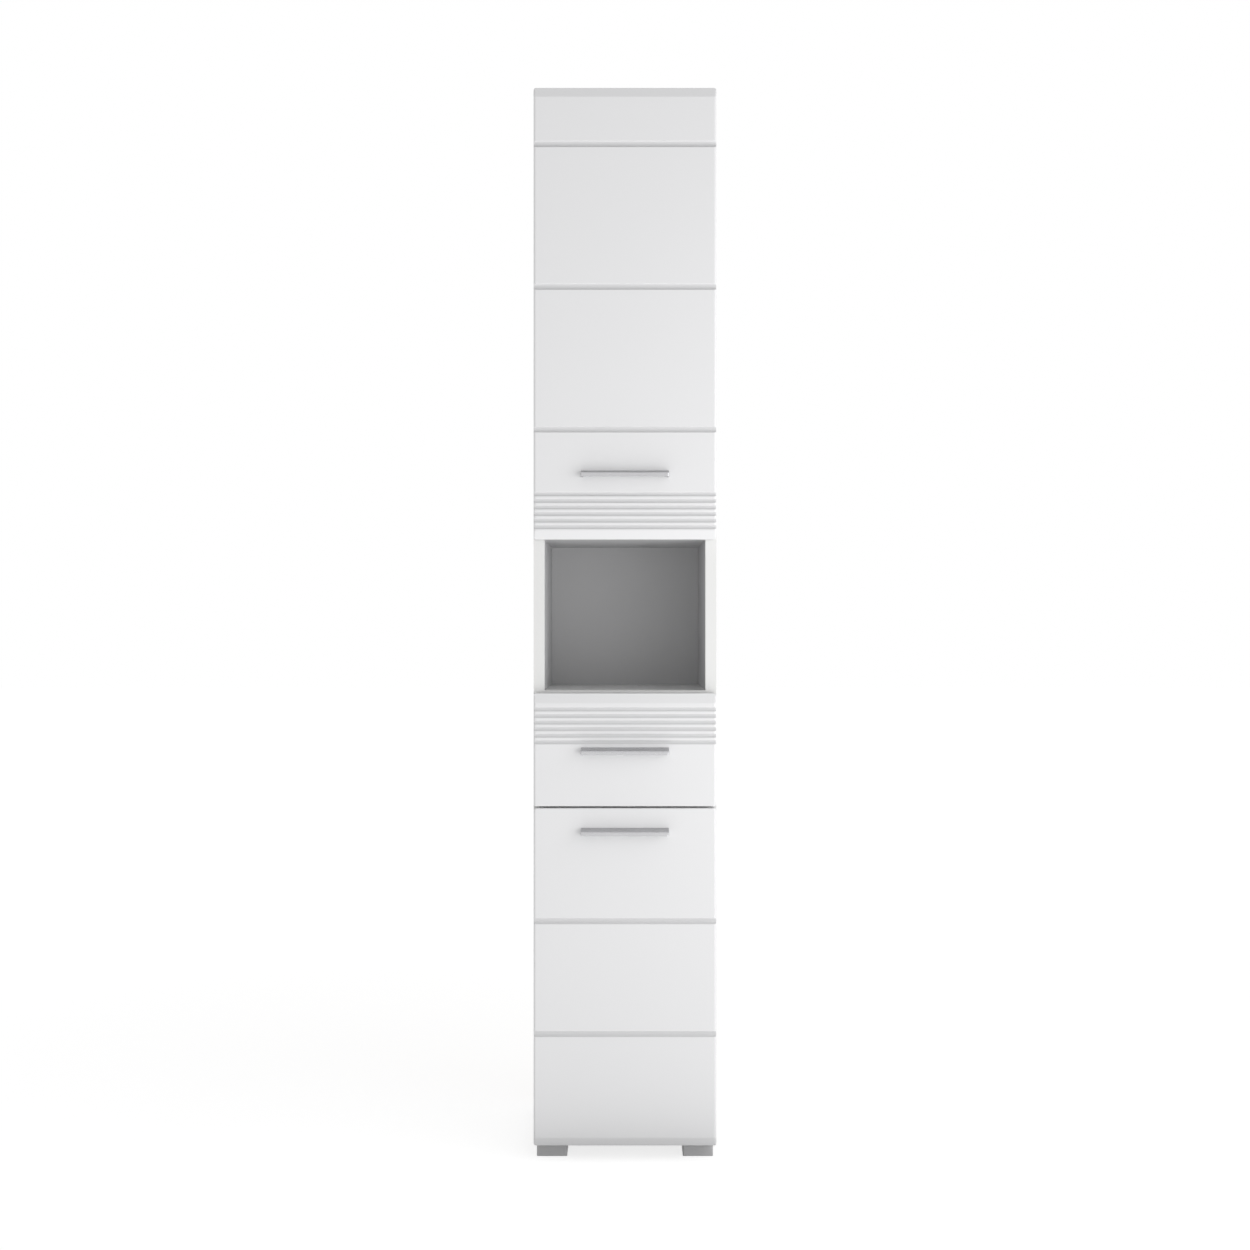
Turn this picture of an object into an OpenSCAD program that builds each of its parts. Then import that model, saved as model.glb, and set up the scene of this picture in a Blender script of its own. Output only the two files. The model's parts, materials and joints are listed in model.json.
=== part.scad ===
// Tall bathroom cabinet: a door above, an open niche, a drawer and a door below, on four plastic feet.
// X runs to the right, Y to the back, Z up. The origin is on the floor under the middle of the whole.

/* [Carcass] */
// Width over the two side panels
cabinet_w = 300; // [280:5:400]
// Depth of the side panels
carcass_d = 290; // [280:5:400]
// Thickness of the sides and of the fixed boards
panel_t = 18; // [16:1:22]
// Thickness of the back panels
back_t = 3; // [2.5:0.5:5]
// Distance from the rear edge of the sides to the backs
back_inset = 10; // [6:1:20]
// Depth of the grooves that hold the backs
groove_depth = 6; // [4:0.5:8]

/* [Heights] */
// Height of the feet
foot_h = 24; // [20:1:60]
// Height of the lower door
lower_door_h = 551; // [450:1:700]
// Height of the drawer front
drawer_front_h = 184; // [170:1:240]
// Height of the open niche between the drawer front and the upper door
niche_h = 251; // [180:1:400]
// Height of the upper door
upper_door_h = 737; // [650:1:900]
// Gap between the drawer front and the lower door
front_gap = 3; // [2:0.5:5]
// Height of the niche floor over the top of the drawer front
niche_lip = 4; // [1:0.5:8]

/* [Fronts] */
// Thickness of the doors and the drawer front
door_t = 18; // [18:1:22]
// Gap between the fronts and the carcass
door_gap = 3; // [3:0.5:5]
// Distance from the side of the cabinet to the edge of a front
side_reveal = 1; // [0.5:0.5:3]
// Rounding of the upright edges and of the corners
front_edge_r = 4; // [2:0.5:6]
// Bevel round the rear face of a front
rear_bevel = 1; // [0.5:0.25:1.5]
// Bevel of a straight top or bottom edge
edge_bevel = 1.5; // [0.5:0.25:3]
// Height of the wide chamfers at the tops
chamfer_h = 16; // [10:1:20]
// Depth of the wide chamfers at the tops
chamfer_d = 5; // [3:0.5:8]
// Height of the wide chamfers at the bottoms
low_chamfer_h = 14; // [10:1:15]
// Depth of the wide chamfers at the bottoms
low_chamfer_d = 4.5; // [3:0.5:8]
// Width of a single groove
groove_w = 10; // [6:0.5:14]
// Depth of a single groove
groove_cut = 3; // [1.5:0.25:4]
// From the top of the upper door to its first groove
upper_groove_down = 93; // [60:1:120]
// Spacing of the upper door's grooves
upper_groove_pitch = 232.5; // [180:0.5:240]
// From the top of the lower door to its first groove
lower_groove_down = 184; // [150:1:200]
// Spacing of the lower door's grooves
lower_groove_pitch = 184; // [150:1:200]
// Width of a groove in the bands of ribs
rib_groove_w = 7; // [4:0.5:9]
// Depth of a groove in the bands of ribs
rib_groove_cut = 2; // [1:0.25:3]
// Spacing of the grooves in the bands of ribs
rib_pitch = 10.7; // [10:0.1:12]
// From the bottom of the upper door to its lowest rib groove
upper_rib_up = 20; // [19:0.5:30]
// From the top of the drawer front to its highest rib groove
drawer_rib_down = 26; // [22:0.5:35]

/* [Handles] */
// Length of a handle
handle_l = 143; // [120:1:180]
// Height of a handle
handle_h = 11; // [10.5:0.5:16]
// Distance that a handle stands out
handle_d = 20; // [18:0.5:30]
// Wall of the handle's hood
handle_wall = 2.2; // [1.5:0.1:3]
// Spacing of the handle's screws
handle_pitch = 128; // [96:1:128]
// From the bottom of the upper door to the handle
upper_handle_up = 101; // [96:1:120]
// From the top of the drawer front to the underside of the handle
drawer_handle_down = 99; // [98:1:106]
// From the top of the lower door to the underside of the handle
lower_handle_down = 43; // [40:1:60]

/* [Shelves] */
// Thickness of the loose shelves
shelf_t = 16; // [12:1:19]
// Distance from the carcass front to the loose shelves
shelf_setback = 30; // [20:1:60]
// Height of the lower bay's shelf over its floor
lower_shelf_up = 257; // [200:1:300]
// Height of the upper bay's lower shelf over its floor
low_shelf_up = 230; // [210:1:250]
// Height of the upper bay's higher shelf over its floor
high_shelf_up = 460; // [420:1:480]
// Diameter of the shelf supports
pin_d = 5; // [4:0.5:6]
// Spacing of the rows of holes for the shelf supports
pin_pitch = 32; // [25:1:40]

/* [Hinges] */
// Diameter of the hinge cups
cup_d = 35; // [34:0.5:36]
// Depth of the hinge cups
cup_depth = 14; // [13.8:0.1:14.5]
// Wood between a cup and the edge of the door
cup_tab = 3; // [2.5:0.25:4]
// From the edge of the door to the hinge pin
pin_from_edge = 8; // [7.5:0.25:8.25]
// From the rear face of the door to the hinge pin
pin_from_rear = 10.5; // [10:0.25:10.75]
// Diameter of the hinge pins
hinge_pin_d = 2.5; // [2:0.1:2.6]
// Diameter of the eye at the end of a hinge arm
eye_d = 5.2; // [4.6:0.1:5.4]
// Thickness of a hinge arm's hook
hook_t = 2; // [1.5:0.1:2.2]
// Width of a hinge arm's hook
hook_w = 10; // [8:0.5:10.5]
// From the top and bottom of the upper door to its hinges
upper_hinge_inset = 130; // [125:1:140]
// From the top and bottom of the lower door to its hinges
lower_hinge_inset = 90; // [70:1:120]

/* [Drawer] */
// Length of the drawer's sides and rails
drawer_l = 250; // [230:5:250]
// Height of the drawer's sides
drawer_side_h = 110; // [80:1:120]
// Thickness of the drawer's sides and back
drawer_side_t = 12; // [12:1:16]
// Room for the rails at each side of the drawer
rail_room = 12.5; // [12:0.1:14]
// Thickness of the rails' steel
rail_t = 1.2; // [1:0.1:1.5]
// Radius of the rails' rollers
roller_r = 7.5; // [6:0.1:8]

/* [Feet and fixings] */
// Width and depth of a foot
foot_w = 50; // [44:1:60]
// Distance from the front and sides of the carcass to the feet
foot_inset = 5; // [2:1:10]
// Diameter of the cam locks
cam_d = 15; // [14:0.5:16]
// Height of the cam locks
cam_h = 12.5; // [12:0.5:13]
// From the end of a board to the middle of its cam locks
cam_in = 24; // [22:1:34]
// From the front and rear edges of a board to its cam locks
cam_edge = 60; // [58:1:70]
// Diameter of the dowels
dowel_d = 8; // [6:1:10]
// Length of the dowels
dowel_l = 30; // [25:1:35]

/* [Hidden] */
$fn = 48;

// Clearances
cut = 1;              // how far a cutter runs past the face that it opens
snug = 0.05;          // radial play of a fastener in its hole
running = 0.05;       // radial play of a pin that turns
play = 0.3;           // air between pieces that pass each other
shelf_play = 0.75;    // air at each end of a loose shelf
groove_play = 0.2;    // air behind a panel in its groove
groove_end_play = 0.5;

// Across
half_w = cabinet_w / 2;
inner_w = cabinet_w - 2 * panel_t;
side_in = half_w - panel_t;
front_w = cabinet_w - 2 * side_reveal;

// From front to back
total_d = carcass_d + door_gap + door_t + handle_d;
y_back = total_d / 2;
y_front = y_back - carcass_d;
y_rear_face = y_front - door_gap;
y_face = y_rear_face - door_t;
y_panel = y_back - back_inset - back_t;
board_d = y_panel - y_front;

// Up
z_carcass = foot_h;
z_lower_top = z_carcass + lower_door_h;
z_drawer = z_lower_top + front_gap;
z_drawer_top = z_drawer + drawer_front_h;
z_upper = z_drawer_top + niche_h;
z_top = z_upper + upper_door_h;

z_bottom_panel = z_carcass;
z_divider = z_lower_top + front_gap / 2 - panel_t / 2;
z_niche_floor = z_drawer_top + niche_lip - panel_t;
z_niche_ceiling = z_upper;
z_top_panel = z_top - panel_t;
// Underside of each fixed board, and the face that its cam locks open to: 1 up, -1 down
BOARDS = [[z_bottom_panel, 1], [z_divider, -1], [z_niche_floor, -1], [z_niche_ceiling, 1],
          [z_top_panel, -1]];

// Loose shelves, by the height of their undersides
z_lower_shelf = z_carcass + panel_t + lower_shelf_up;
z_low_shelf = z_niche_ceiling + panel_t + low_shelf_up;
z_high_shelf = z_niche_ceiling + panel_t + high_shelf_up;
SHELVES = [z_lower_shelf, z_low_shelf, z_high_shelf];
shelf_d = board_d - shelf_setback;
shelf_pin_edge = 30;
shelf_pin_ys = [y_front + shelf_setback + shelf_pin_edge, y_panel - shelf_pin_edge];
pin_depth = 9;
pin_hole_depth = 10;
pin_reach = 11;
pin_tongue_w = 9;
pin_tongue_t = 2;
pin_rib_t = 2.5;
pin_foot = 1.5;       // upright end of the rib, at the side
pin_rows = 2;         // spare holes over and under each support

// Cam fixings: bolt in the side, lock in the board, dowel beside them
bolt_thread_d = 5;
bolt_thread_l = 11;
bolt_collar_d = 7.6;
bolt_bore_d = 8;
bolt_collar_l = 3;
bolt_neck_d = 4;
bolt_head_d = 6.6;
bolt_head_l = 3;
cam_slot_l = 6;
cam_slot_w = 1.2;
cam_slot_deep = 1.5;
cam_ys = [y_front + cam_edge, y_panel - cam_edge];
dowel_from_cam = 32;
dowel_ys = [y_front + cam_edge + dowel_from_cam, y_panel - cam_edge - dowel_from_cam];
dowel_in_side = 10;
dowel_chamfer = 1;

// Feet
foot_corner_r = 3;
foot_wall = 3;
foot_top = 5;
foot_boss_d = 12;
foot_lap = 1;         // how far ribs and bosses run into the shell
foot_screw_d = 4;
foot_screw_head_d = 8;
foot_screw_head_h = 3;
foot_screw_grip = 13;
foot_screw_pitch = 22;
foot_x = half_w - foot_inset - foot_w / 2;
foot_ys = [y_front + foot_inset + foot_w / 2, y_back - foot_inset - foot_w / 2];
foot_screw_in = 6;    // from the side's inner face to the foot screws, past the boss
foot_screw_x = side_in - foot_screw_in - foot_boss_d / 2;

// Wall bracket
bracket_t = 1.5;
bracket_w = 40;
bracket_leaf = 36;
bracket_r = 6;
bracket_screw_d = 4;
bracket_screw_l = 14;
bracket_screw_pitch = 22;
bracket_screw_head_d = 7.5;
bracket_screw_head_h = 2.2;
bracket_screw_in = 22;
bracket_screw_y = y_panel - bracket_screw_in;
wall_hole_d = 6;
wall_hole_down = 20;
back_hole_d = 9;
z_wall_hole = z_top_panel - wall_hole_down;

// Hinges, in plan at the left of the cabinet
door_edge_x = -half_w + side_reveal;
hinge_x = door_edge_x + pin_from_edge;
hinge_y = y_rear_face - pin_from_rear;
cup_x = door_edge_x + cup_tab + cup_d / 2;
cup_flange_t = 1;
cup_flange_w = 18;
cup_flange_l = 60;
cup_flange_r = 4;
cup_screw_pitch = 48;
cup_screw_in = 6;
cup_screw_d = 3.5;
cup_screw_head_d = 6.6;
cup_screw_head_h = 1.6;
cup_screw_grip = 11;
pocket_w = hook_w + 2 * play;
pocket_wall = 2.4;
pocket_floor = hinge_y - eye_d / 2 - play;
pocket_left = hinge_x - eye_d / 2 - play;
pocket_right = cup_x + cup_d / 2 - pocket_wall;
pin_seat = 4.5;       // length of a hinge pin in the cup at each end
pin_l = pocket_w + 2 * pin_seat;
plate_in = 37;        // from the carcass front to the screws of the hinge plates
plate_screw_pitch = 32;
plate_wing_t = 2;
plate_wing_w = 14;
plate_wing_l = 46;
plate_wing_r = 6;
plate_screw_d = 5;
plate_screw_l = 11;
plate_screw_head_d = 8.4;
plate_screw_head_h = 1.4;
arm_h = 14;
arm_w = 15;
arm_wall = 1.2;
arm_in = 5;           // from the carcass front to the arms, their plates' spines and their screws
arm_front = y_front + arm_in;
arm_l = 58;
arm_r = 3.5;
spine_in = 14;
spine_y = y_front + spine_in;
spine_l = 40;
spine_r = 3;
elbow_r = 4;
arm_screw_d = 4;
arm_screw_l = 9;
arm_screw_head_d = 7;
arm_screw_head_h = 2;
arm_screw_in = 24;     // from the carcass front to the front screw of an arm
arm_screw_pitch = 22;
arm_screw_ys = [for (i = [0, 1]) y_front + arm_screw_in + i * arm_screw_pitch];
spine_w = arm_w - 2 * arm_wall - 2 * play;
leg_overlap = 8;      // length of the hook's leg inside the arm's channel
leg_x = -side_in + arm_h - hook_t / 2;
UPPER_HINGES = [z_upper + upper_hinge_inset, z_top - upper_hinge_inset];
LOWER_HINGES = [z_carcass + lower_hinge_inset, z_lower_top - lower_hinge_inset];
HINGES = concat(LOWER_HINGES, UPPER_HINGES);

// Handles, by the height of their undersides
z_upper_handle = z_upper + upper_handle_up;
z_drawer_handle = z_drawer_top - drawer_handle_down;
z_lower_handle = z_lower_top - lower_handle_down;
handle_end_t = 3;
handle_end_r = 3;
handle_nose_r = 3;
handle_slope = 13.5;  // fall of the hood's top toward the user, in degrees
handle_boss_d = 6.6;
handle_boss_up = 5;
handle_screw_d = 4;
handle_screw_grip = 8;
handle_boss_end = 2;  // solid end of a boss past its screw
handle_screw_head_d = 8;
handle_screw_head_h = 2.2;

// Door and drawer bumpers
bumper_d = 8;
bumper_play = 0.2;
bumper_h = door_gap - bumper_play;
bumper_dome_r = 5.3;
bumper_edge = 40;

// Drawer
drawer_w = inner_w - 2 * rail_room;
drawer_half = drawer_w / 2;
rail_lift = 12;       // from the board under the drawer to its rails
z_rail = z_divider + panel_t + rail_lift;
z_track = z_rail + rail_t;
drawer_lift = 1;      // from the cabinet rails' track to the underside of the drawer's sides
z_drawer_box = z_track + drawer_lift;
roller_low = play;
roller_high = 3 * play;
rail_flange_z = roller_high + 2 * roller_r + play;
rail_top_air = 0.8;   // over the drawer rails' flanges
rail_inner_h = rail_flange_z + rail_t + rail_top_air;
rail_in = 2;
rail_slot_d = 4;       // spare oblong holes of the cabinet rails
rail_slot_l = 12;
rail_y = y_front + rail_in;
rail_l = drawer_l;
rail_side_air = 2.2;  // from a flange to the drawer's side
rail_flange_w = rail_room - rail_t - rail_side_air;
rail_top_short = 1;   // the top flange of a cabinet rail is narrower than its track
drawer_rail_in = 1;   // from the rear face of the drawer front to its rails
drawer_rail_foot = 10;
roller_air = 1.5;     // at the two ends of a roller
roller_w = rail_room - 2 * rail_t - roller_air;
roller_edge = 0.6;
roller_hub_r = 3.6;
roller_rim = 1.6;
roller_recess = 2.5;
roller_pin_d = 4;
roller_bore_r = roller_pin_d / 2 + running;
roller_in = 12;       // from the end of a rail to its roller
front_roller_y = rail_y + roller_in;
rear_roller_y = y_rear_face + drawer_l - roller_in;
rail_screw_d = 3.5;
rail_screw_head_d = 6;
rail_screw_head_h = rail_t;
rail_screw_l = 13;
rail_screw_in = 36;   // from the front of a cabinet rail to its first screw
rail_screw_end = 22;  // from its last screw to its rear
rail_screw_pitch = (rail_l - rail_screw_in - rail_screw_end) / 2;
rail_screw_ys = [for (i = [0 : 2]) rail_y + rail_screw_in + i * rail_screw_pitch];
drawer_bottom_t = 3;
drawer_bottom_up = 10;
z_drawer_bottom = z_drawer_box + drawer_bottom_up;
drawer_groove = 6;
drawer_cam_d = 12;
drawer_cam_h = 10;
drawer_cam_in = 20;
drawer_cam_up = 25;
drawer_bore_d = 7.8;  // a little wider than the collar of a bolt
drawer_back_screw_d = 4;
drawer_back_screw_l = 38;
drawer_back_screw_head_d = 7;
drawer_back_screw_head_h = 2.4;
z_drawer_cams = [z_drawer_box + drawer_cam_up, z_drawer_box + drawer_side_h - drawer_cam_up];

// A box between two corners
module block(from, to) {
    translate(from) cube(to - from);
}

// Round bars along the three axes, from a point
module rod_x(at, d, l) { translate(at) rotate([0, 90, 0]) cylinder(d = d, h = l); }
module rod_y(at, d, l) { translate(at) rotate([-90, 0, 0]) cylinder(d = d, h = l); }
module rod_z(at, d, l) { translate(at) cylinder(d = d, h = l); }

// A child at the left and its mirror image at the right
module both_sides() {
    children();
    mirror([1, 0, 0]) children();
}

// A flat outline with round corners
module rounded(w, h, r) {
    translate([r, 0]) square([w - 2 * r, h]);
    translate([0, r]) square([w, h - 2 * r]);
    for (x = [r, w - r], y = [r, h - r]) translate([x, y]) circle(r);
}

// The left side panel, with the holes that both sides have
module side_blank() {
    difference() {
        block([-half_w, y_front, z_carcass], [-side_in, y_back, z_top]);
        block([-side_in - groove_depth, y_panel, z_carcass - cut],
              [-side_in + cut, y_panel + back_t + groove_play, z_top + cut]);
        for (board = BOARDS, y = cam_ys)
            rod_x([-side_in - bolt_thread_l, y, board[0] + panel_t / 2], bolt_thread_d + 2 * snug,
                  bolt_thread_l + cut);
        for (board = BOARDS, y = dowel_ys)
            rod_x([-side_in - dowel_in_side, y, board[0] + panel_t / 2], dowel_d + 2 * snug,
                  dowel_in_side + cut);
        for (z = SHELVES, y = shelf_pin_ys, i = [-pin_rows : pin_rows])
            rod_x([-side_in - pin_hole_depth, y, z - pin_d / 2 + i * pin_pitch], pin_d + 2 * snug,
                  pin_hole_depth + cut);
        for (y = rail_screw_ys)
            rod_x([-side_in - rail_screw_l, y, z_track + rail_inner_h / 2], rail_screw_d + 2 * snug,
                  rail_screw_l + cut);
    }
}

module left_side() {
    color("white") difference() {
        side_blank();
        for (z = HINGES, s = [-1, 1])
            rod_x([-side_in - plate_screw_l, y_front + plate_in, z + s * plate_screw_pitch / 2],
                  plate_screw_d + 2 * snug, plate_screw_l + cut);
    }
}

module right_side() {
    color("white") mirror([1, 0, 0]) side_blank();
}

// A fixed board between the sides, with its cam locks' holes in one face
module board(z, face) {
    lock_z = face > 0 ? z + panel_t - cam_h : z - cut;
    difference() {
        block([-side_in, y_front, z], [side_in, y_panel, z + panel_t]);
        both_sides() for (y = cam_ys) {
            rod_z([-side_in + cam_in, y, lock_z], cam_d + 2 * snug, cam_h + cut);
            rod_x([-side_in - cut, y, z + panel_t / 2], bolt_bore_d, cam_in + cut);
        }
        both_sides() for (y = dowel_ys)
            rod_x([-side_in - cut, y, z + panel_t / 2], dowel_d + 2 * snug,
                  dowel_l - dowel_in_side + cut);
    }
}

module top_panel() {
    color("white") difference() {
        board(z_top_panel, -1);
        for (s = [-1, 1])
            rod_z([s * bracket_screw_pitch / 2, bracket_screw_y, z_top_panel - cut],
                  bracket_screw_d + 2 * snug, bracket_screw_l + cut);
    }
}

module bottom_panel() {
    color("white") difference() {
        board(z_bottom_panel, 1);
        both_sides() for (y = foot_ys, s = [-1, 1])
            rod_z([-foot_screw_x, y + s * foot_screw_pitch / 2, z_bottom_panel - cut],
                  foot_screw_d + 2 * snug, foot_screw_grip + cut);
    }
}

module niche_ceiling() { color("white") board(z_niche_ceiling, 1); }
module niche_floor() { color("white") board(z_niche_floor, -1); }
module drawer_divider() { color("white") board(z_divider, -1); }

// A back panel held in the sides' grooves
module back(from_z, to_z) {
    w = side_in + groove_depth - groove_end_play;
    block([-w, y_panel, from_z], [w, y_panel + back_t, to_z]);
}

module upper_back() {
    color("whitesmoke") difference() {
        back(z_niche_ceiling + panel_t / 2, z_top);
        rod_y([0, y_panel - cut, z_wall_hole], back_hole_d, back_t + 2 * cut);
    }
}

module niche_back() {
    color("whitesmoke") back(z_niche_floor + panel_t / 2, z_niche_ceiling + panel_t / 2);
}

module lower_back() { color("whitesmoke") back(z_carcass, z_niche_floor + panel_t / 2); }

// A loose shelf
module shelf(z) {
    color("white") block([-side_in + shelf_play, y_front + shelf_setback, z],
                         [side_in - shelf_play, y_front + shelf_setback + shelf_d, z + shelf_t]);
}

module high_shelf() { shelf(z_high_shelf); }
module low_shelf() { shelf(z_low_shelf); }
module lower_shelf() { shelf(z_lower_shelf); }

// A shelf support: a peg in the side, a tongue with a round end under the shelf and a rib below it
module shelf_pin(y, z) {
    rod_x([-side_in - pin_depth, y, z - pin_d / 2], pin_d, pin_depth);
    translate([-side_in, y, z - pin_tongue_t]) linear_extrude(pin_tongue_t) {
        translate([0, -pin_tongue_w / 2]) square([pin_reach - pin_tongue_w / 2, pin_tongue_w]);
        translate([pin_reach - pin_tongue_w / 2, 0]) circle(d = pin_tongue_w);
    }
    translate([-side_in, y + pin_rib_t / 2, z - pin_tongue_t]) rotate([90, 0, 0])
        linear_extrude(pin_rib_t)
            polygon([[0, 0], [pin_reach - pin_tongue_t, 0], [pin_foot, pin_tongue_t - pin_d],
                     [0, pin_tongue_t - pin_d]]);
}

module shelf_pins() {
    color("silver") both_sides() for (z = SHELVES, y = shelf_pin_ys) shelf_pin(y, z);
}

// A cam lock about the origin, open to -X for its bolt, with its slotted face up
module cam_lock(d, h, bolt_z) {
    difference() {
        cylinder(d = d, h = h);
        translate([-d, -bolt_neck_d / 2 - play, bolt_z - bolt_neck_d / 2 - play])
            cube([d, bolt_neck_d + 2 * play, bolt_neck_d + 2 * play]);
        translate([-bolt_head_l / 2 - play, 0, bolt_z]) rotate([0, 90, 0])
            cylinder(d = bolt_head_d + 2 * play, h = bolt_head_l + 2 * play);
        for (a = [0, 90]) rotate(a) translate([-cam_slot_l / 2, -cam_slot_w / 2, h - cam_slot_deep])
            cube([cam_slot_l, cam_slot_w, cam_slot_deep + cut]);
    }
}

// A cam lock in the board at z, turned so that its slot shows in the given face
module board_cam(z, face) {
    bolt_z = cam_h - panel_t / 2;
    if (face > 0) translate([0, 0, z + panel_t - cam_h]) cam_lock(cam_d, cam_h, bolt_z);
    else translate([0, 0, z + cam_h]) rotate([180, 0, 0]) cam_lock(cam_d, cam_h, bolt_z);
}

module cam_locks() {
    color("silver") both_sides() for (b = BOARDS, y = cam_ys)
        translate([-side_in + cam_in, y, 0]) board_cam(b[0], b[1]);
}

// A cam bolt along X, its thread ending at x = 0 and its head reach away
module cam_bolt(thread_l, reach) {
    rod_x([-thread_l, 0, 0], bolt_thread_d, thread_l);
    rod_x([0, 0, 0], bolt_collar_d, bolt_collar_l);
    rod_x([0, 0, 0], bolt_neck_d, reach);
    rod_x([reach - bolt_head_l / 2, 0, 0], bolt_head_d, bolt_head_l);
}

module cam_bolts() {
    color("silver") both_sides() for (b = BOARDS, y = cam_ys)
        translate([-side_in, y, b[0] + panel_t / 2]) cam_bolt(bolt_thread_l - play, cam_in);
}

// A dowel along X from x = 0, with chamfered ends
module dowel(l) {
    r = dowel_d / 2;
    rotate([0, 90, 0]) rotate_extrude()
        polygon([[0, 0], [r - dowel_chamfer, 0], [r, dowel_chamfer], [r, l - dowel_chamfer],
                 [r - dowel_chamfer, l], [0, l]]);
}

module dowels() {
    color("burlywood") both_sides() for (b = BOARDS, y = dowel_ys)
        translate([-side_in - dowel_in_side + play, y, b[0] + panel_t / 2]) dowel(dowel_l - 2 * play);
}

// A moulded foot: a shell with a closed top, two screw bosses and a cross rib
module foot(side, y) {
    low = foot_h - foot_top;
    color("darkgray") difference() {
        union() {
            difference() {
                translate([side * foot_x - foot_w / 2, y - foot_w / 2, 0])
                    linear_extrude(foot_h) rounded(foot_w, foot_w, foot_corner_r);
                block([side * foot_x - foot_w / 2 + foot_wall, y - foot_w / 2 + foot_wall, -cut],
                      [side * foot_x + foot_w / 2 - foot_wall, y + foot_w / 2 - foot_wall, low]);
            }
            for (s = [-1, 1])
                rod_z([side * foot_screw_x, y + s * foot_screw_pitch / 2, 0], foot_boss_d,
                      foot_h - foot_lap);
            block([side * foot_x - foot_w / 2 + foot_lap, y - foot_wall / 2, 0],
                  [side * foot_x + foot_w / 2 - foot_lap, y + foot_wall / 2, foot_h - foot_lap]);
        }
        for (s = [-1, 1]) {
            rod_z([side * foot_screw_x, y + s * foot_screw_pitch / 2, -cut],
                  foot_screw_d + 2 * snug, foot_h + 2 * cut);
            rod_z([side * foot_screw_x, y + s * foot_screw_pitch / 2, -cut],
                  foot_screw_head_d + 2 * play, low + cut);
        }
    }
}

module front_left_foot() { foot(-1, foot_ys[0]); }
module front_right_foot() { foot(1, foot_ys[0]); }
module rear_left_foot() { foot(-1, foot_ys[1]); }
module rear_right_foot() { foot(1, foot_ys[1]); }

module foot_screws() {
    low = foot_h - foot_top;
    color("silver") both_sides() for (y = foot_ys, s = [-1, 1])
        translate([-foot_screw_x, y + s * foot_screw_pitch / 2, 0]) {
            rod_z([0, 0, low - foot_screw_head_h], foot_screw_head_d, foot_screw_head_h);
            rod_z([0, 0, low], foot_screw_d, foot_top + foot_screw_grip - play);
        }
}

// One leaf of the wall bracket, round at its free corners
module bracket_plan() {
    rounded(bracket_w, bracket_leaf, bracket_r);
    translate([0, bracket_r]) square([bracket_w, bracket_leaf - bracket_r]);
}

// The angle that keeps the cabinet from tipping: screwed under the top, with a hole for a wall screw
module wall_bracket() {
    color("silver") difference() {
        union() {
            translate([-bracket_w / 2, y_panel - bracket_leaf, z_top_panel - bracket_t])
                linear_extrude(bracket_t) bracket_plan();
            translate([-bracket_w / 2, y_panel, z_top_panel - bracket_leaf]) rotate([90, 0, 0])
                linear_extrude(bracket_t) bracket_plan();
        }
        for (s = [-1, 1])
            rod_z([s * bracket_screw_pitch / 2, bracket_screw_y, z_top_panel - bracket_t - cut],
                  bracket_screw_d + 2 * snug, bracket_t + 2 * cut);
        rod_y([0, y_panel - bracket_t - cut, z_wall_hole], wall_hole_d, bracket_t + 2 * cut);
    }
}

module bracket_screws() {
    color("silver") for (s = [-1, 1]) translate([s * bracket_screw_pitch / 2, bracket_screw_y, 0]) {
        rod_z([0, 0, z_top_panel - bracket_t - bracket_screw_head_h], bracket_screw_head_d,
              bracket_screw_head_h);
        rod_z([0, 0, z_top_panel - bracket_t], bracket_screw_d, bracket_t + bracket_screw_l - play);
    }
}

// The cross-shaped plate that carries a hinge arm on the left side
module hinge_plate(z) {
    y = y_front + plate_in;
    difference() {
        union() {
            translate([-side_in, y - plate_wing_w / 2, z - plate_wing_l / 2]) rotate([90, 0, 90])
                linear_extrude(plate_wing_t) rounded(plate_wing_w, plate_wing_l, plate_wing_r);
            translate([-side_in, spine_y, z - spine_w / 2]) rotate([90, 0, 90])
                linear_extrude(arm_h - arm_wall) rounded(spine_l, spine_w, spine_r);
        }
        for (s = [-1, 1])
            rod_x([-side_in - cut, y, z + s * plate_screw_pitch / 2], plate_screw_d + 2 * snug,
                  plate_wing_t + 2 * cut);
        for (y = arm_screw_ys)
            rod_x([-side_in + arm_h - arm_screw_l, y, z], arm_screw_d + 2 * snug, arm_screw_l);
    }
}

module hinge_plates() { color("lightsteelblue") for (z = HINGES) hinge_plate(z); }

module hinge_plate_screws() {
    color("silver") for (z = HINGES, s = [-1, 1])
        translate([-side_in, y_front + plate_in, z + s * plate_screw_pitch / 2]) {
            rod_x([-plate_screw_l + play, 0, 0], plate_screw_d, plate_screw_l - play + plate_wing_t);
            rod_x([plate_wing_t, 0, 0], plate_screw_head_d, plate_screw_head_h);
        }
}

// Plan of the hook: an eye round the pin, a floor, a quarter bend and a leg back to the arm
module hook_plan() {
    translate([hinge_x, hinge_y]) circle(d = eye_d);
    translate([hinge_x, hinge_y - hook_t / 2]) square([leg_x - elbow_r - hinge_x, hook_t]);
    intersection() {
        translate([leg_x - elbow_r, hinge_y + elbow_r]) difference() {
            circle(elbow_r + hook_t / 2);
            circle(elbow_r - hook_t / 2);
        }
        translate([leg_x - elbow_r, hinge_y - elbow_r]) square(2 * elbow_r);
    }
    translate([leg_x - hook_t / 2, hinge_y + elbow_r])
        square([hook_t, arm_front + leg_overlap - hinge_y - elbow_r]);
}

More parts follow.
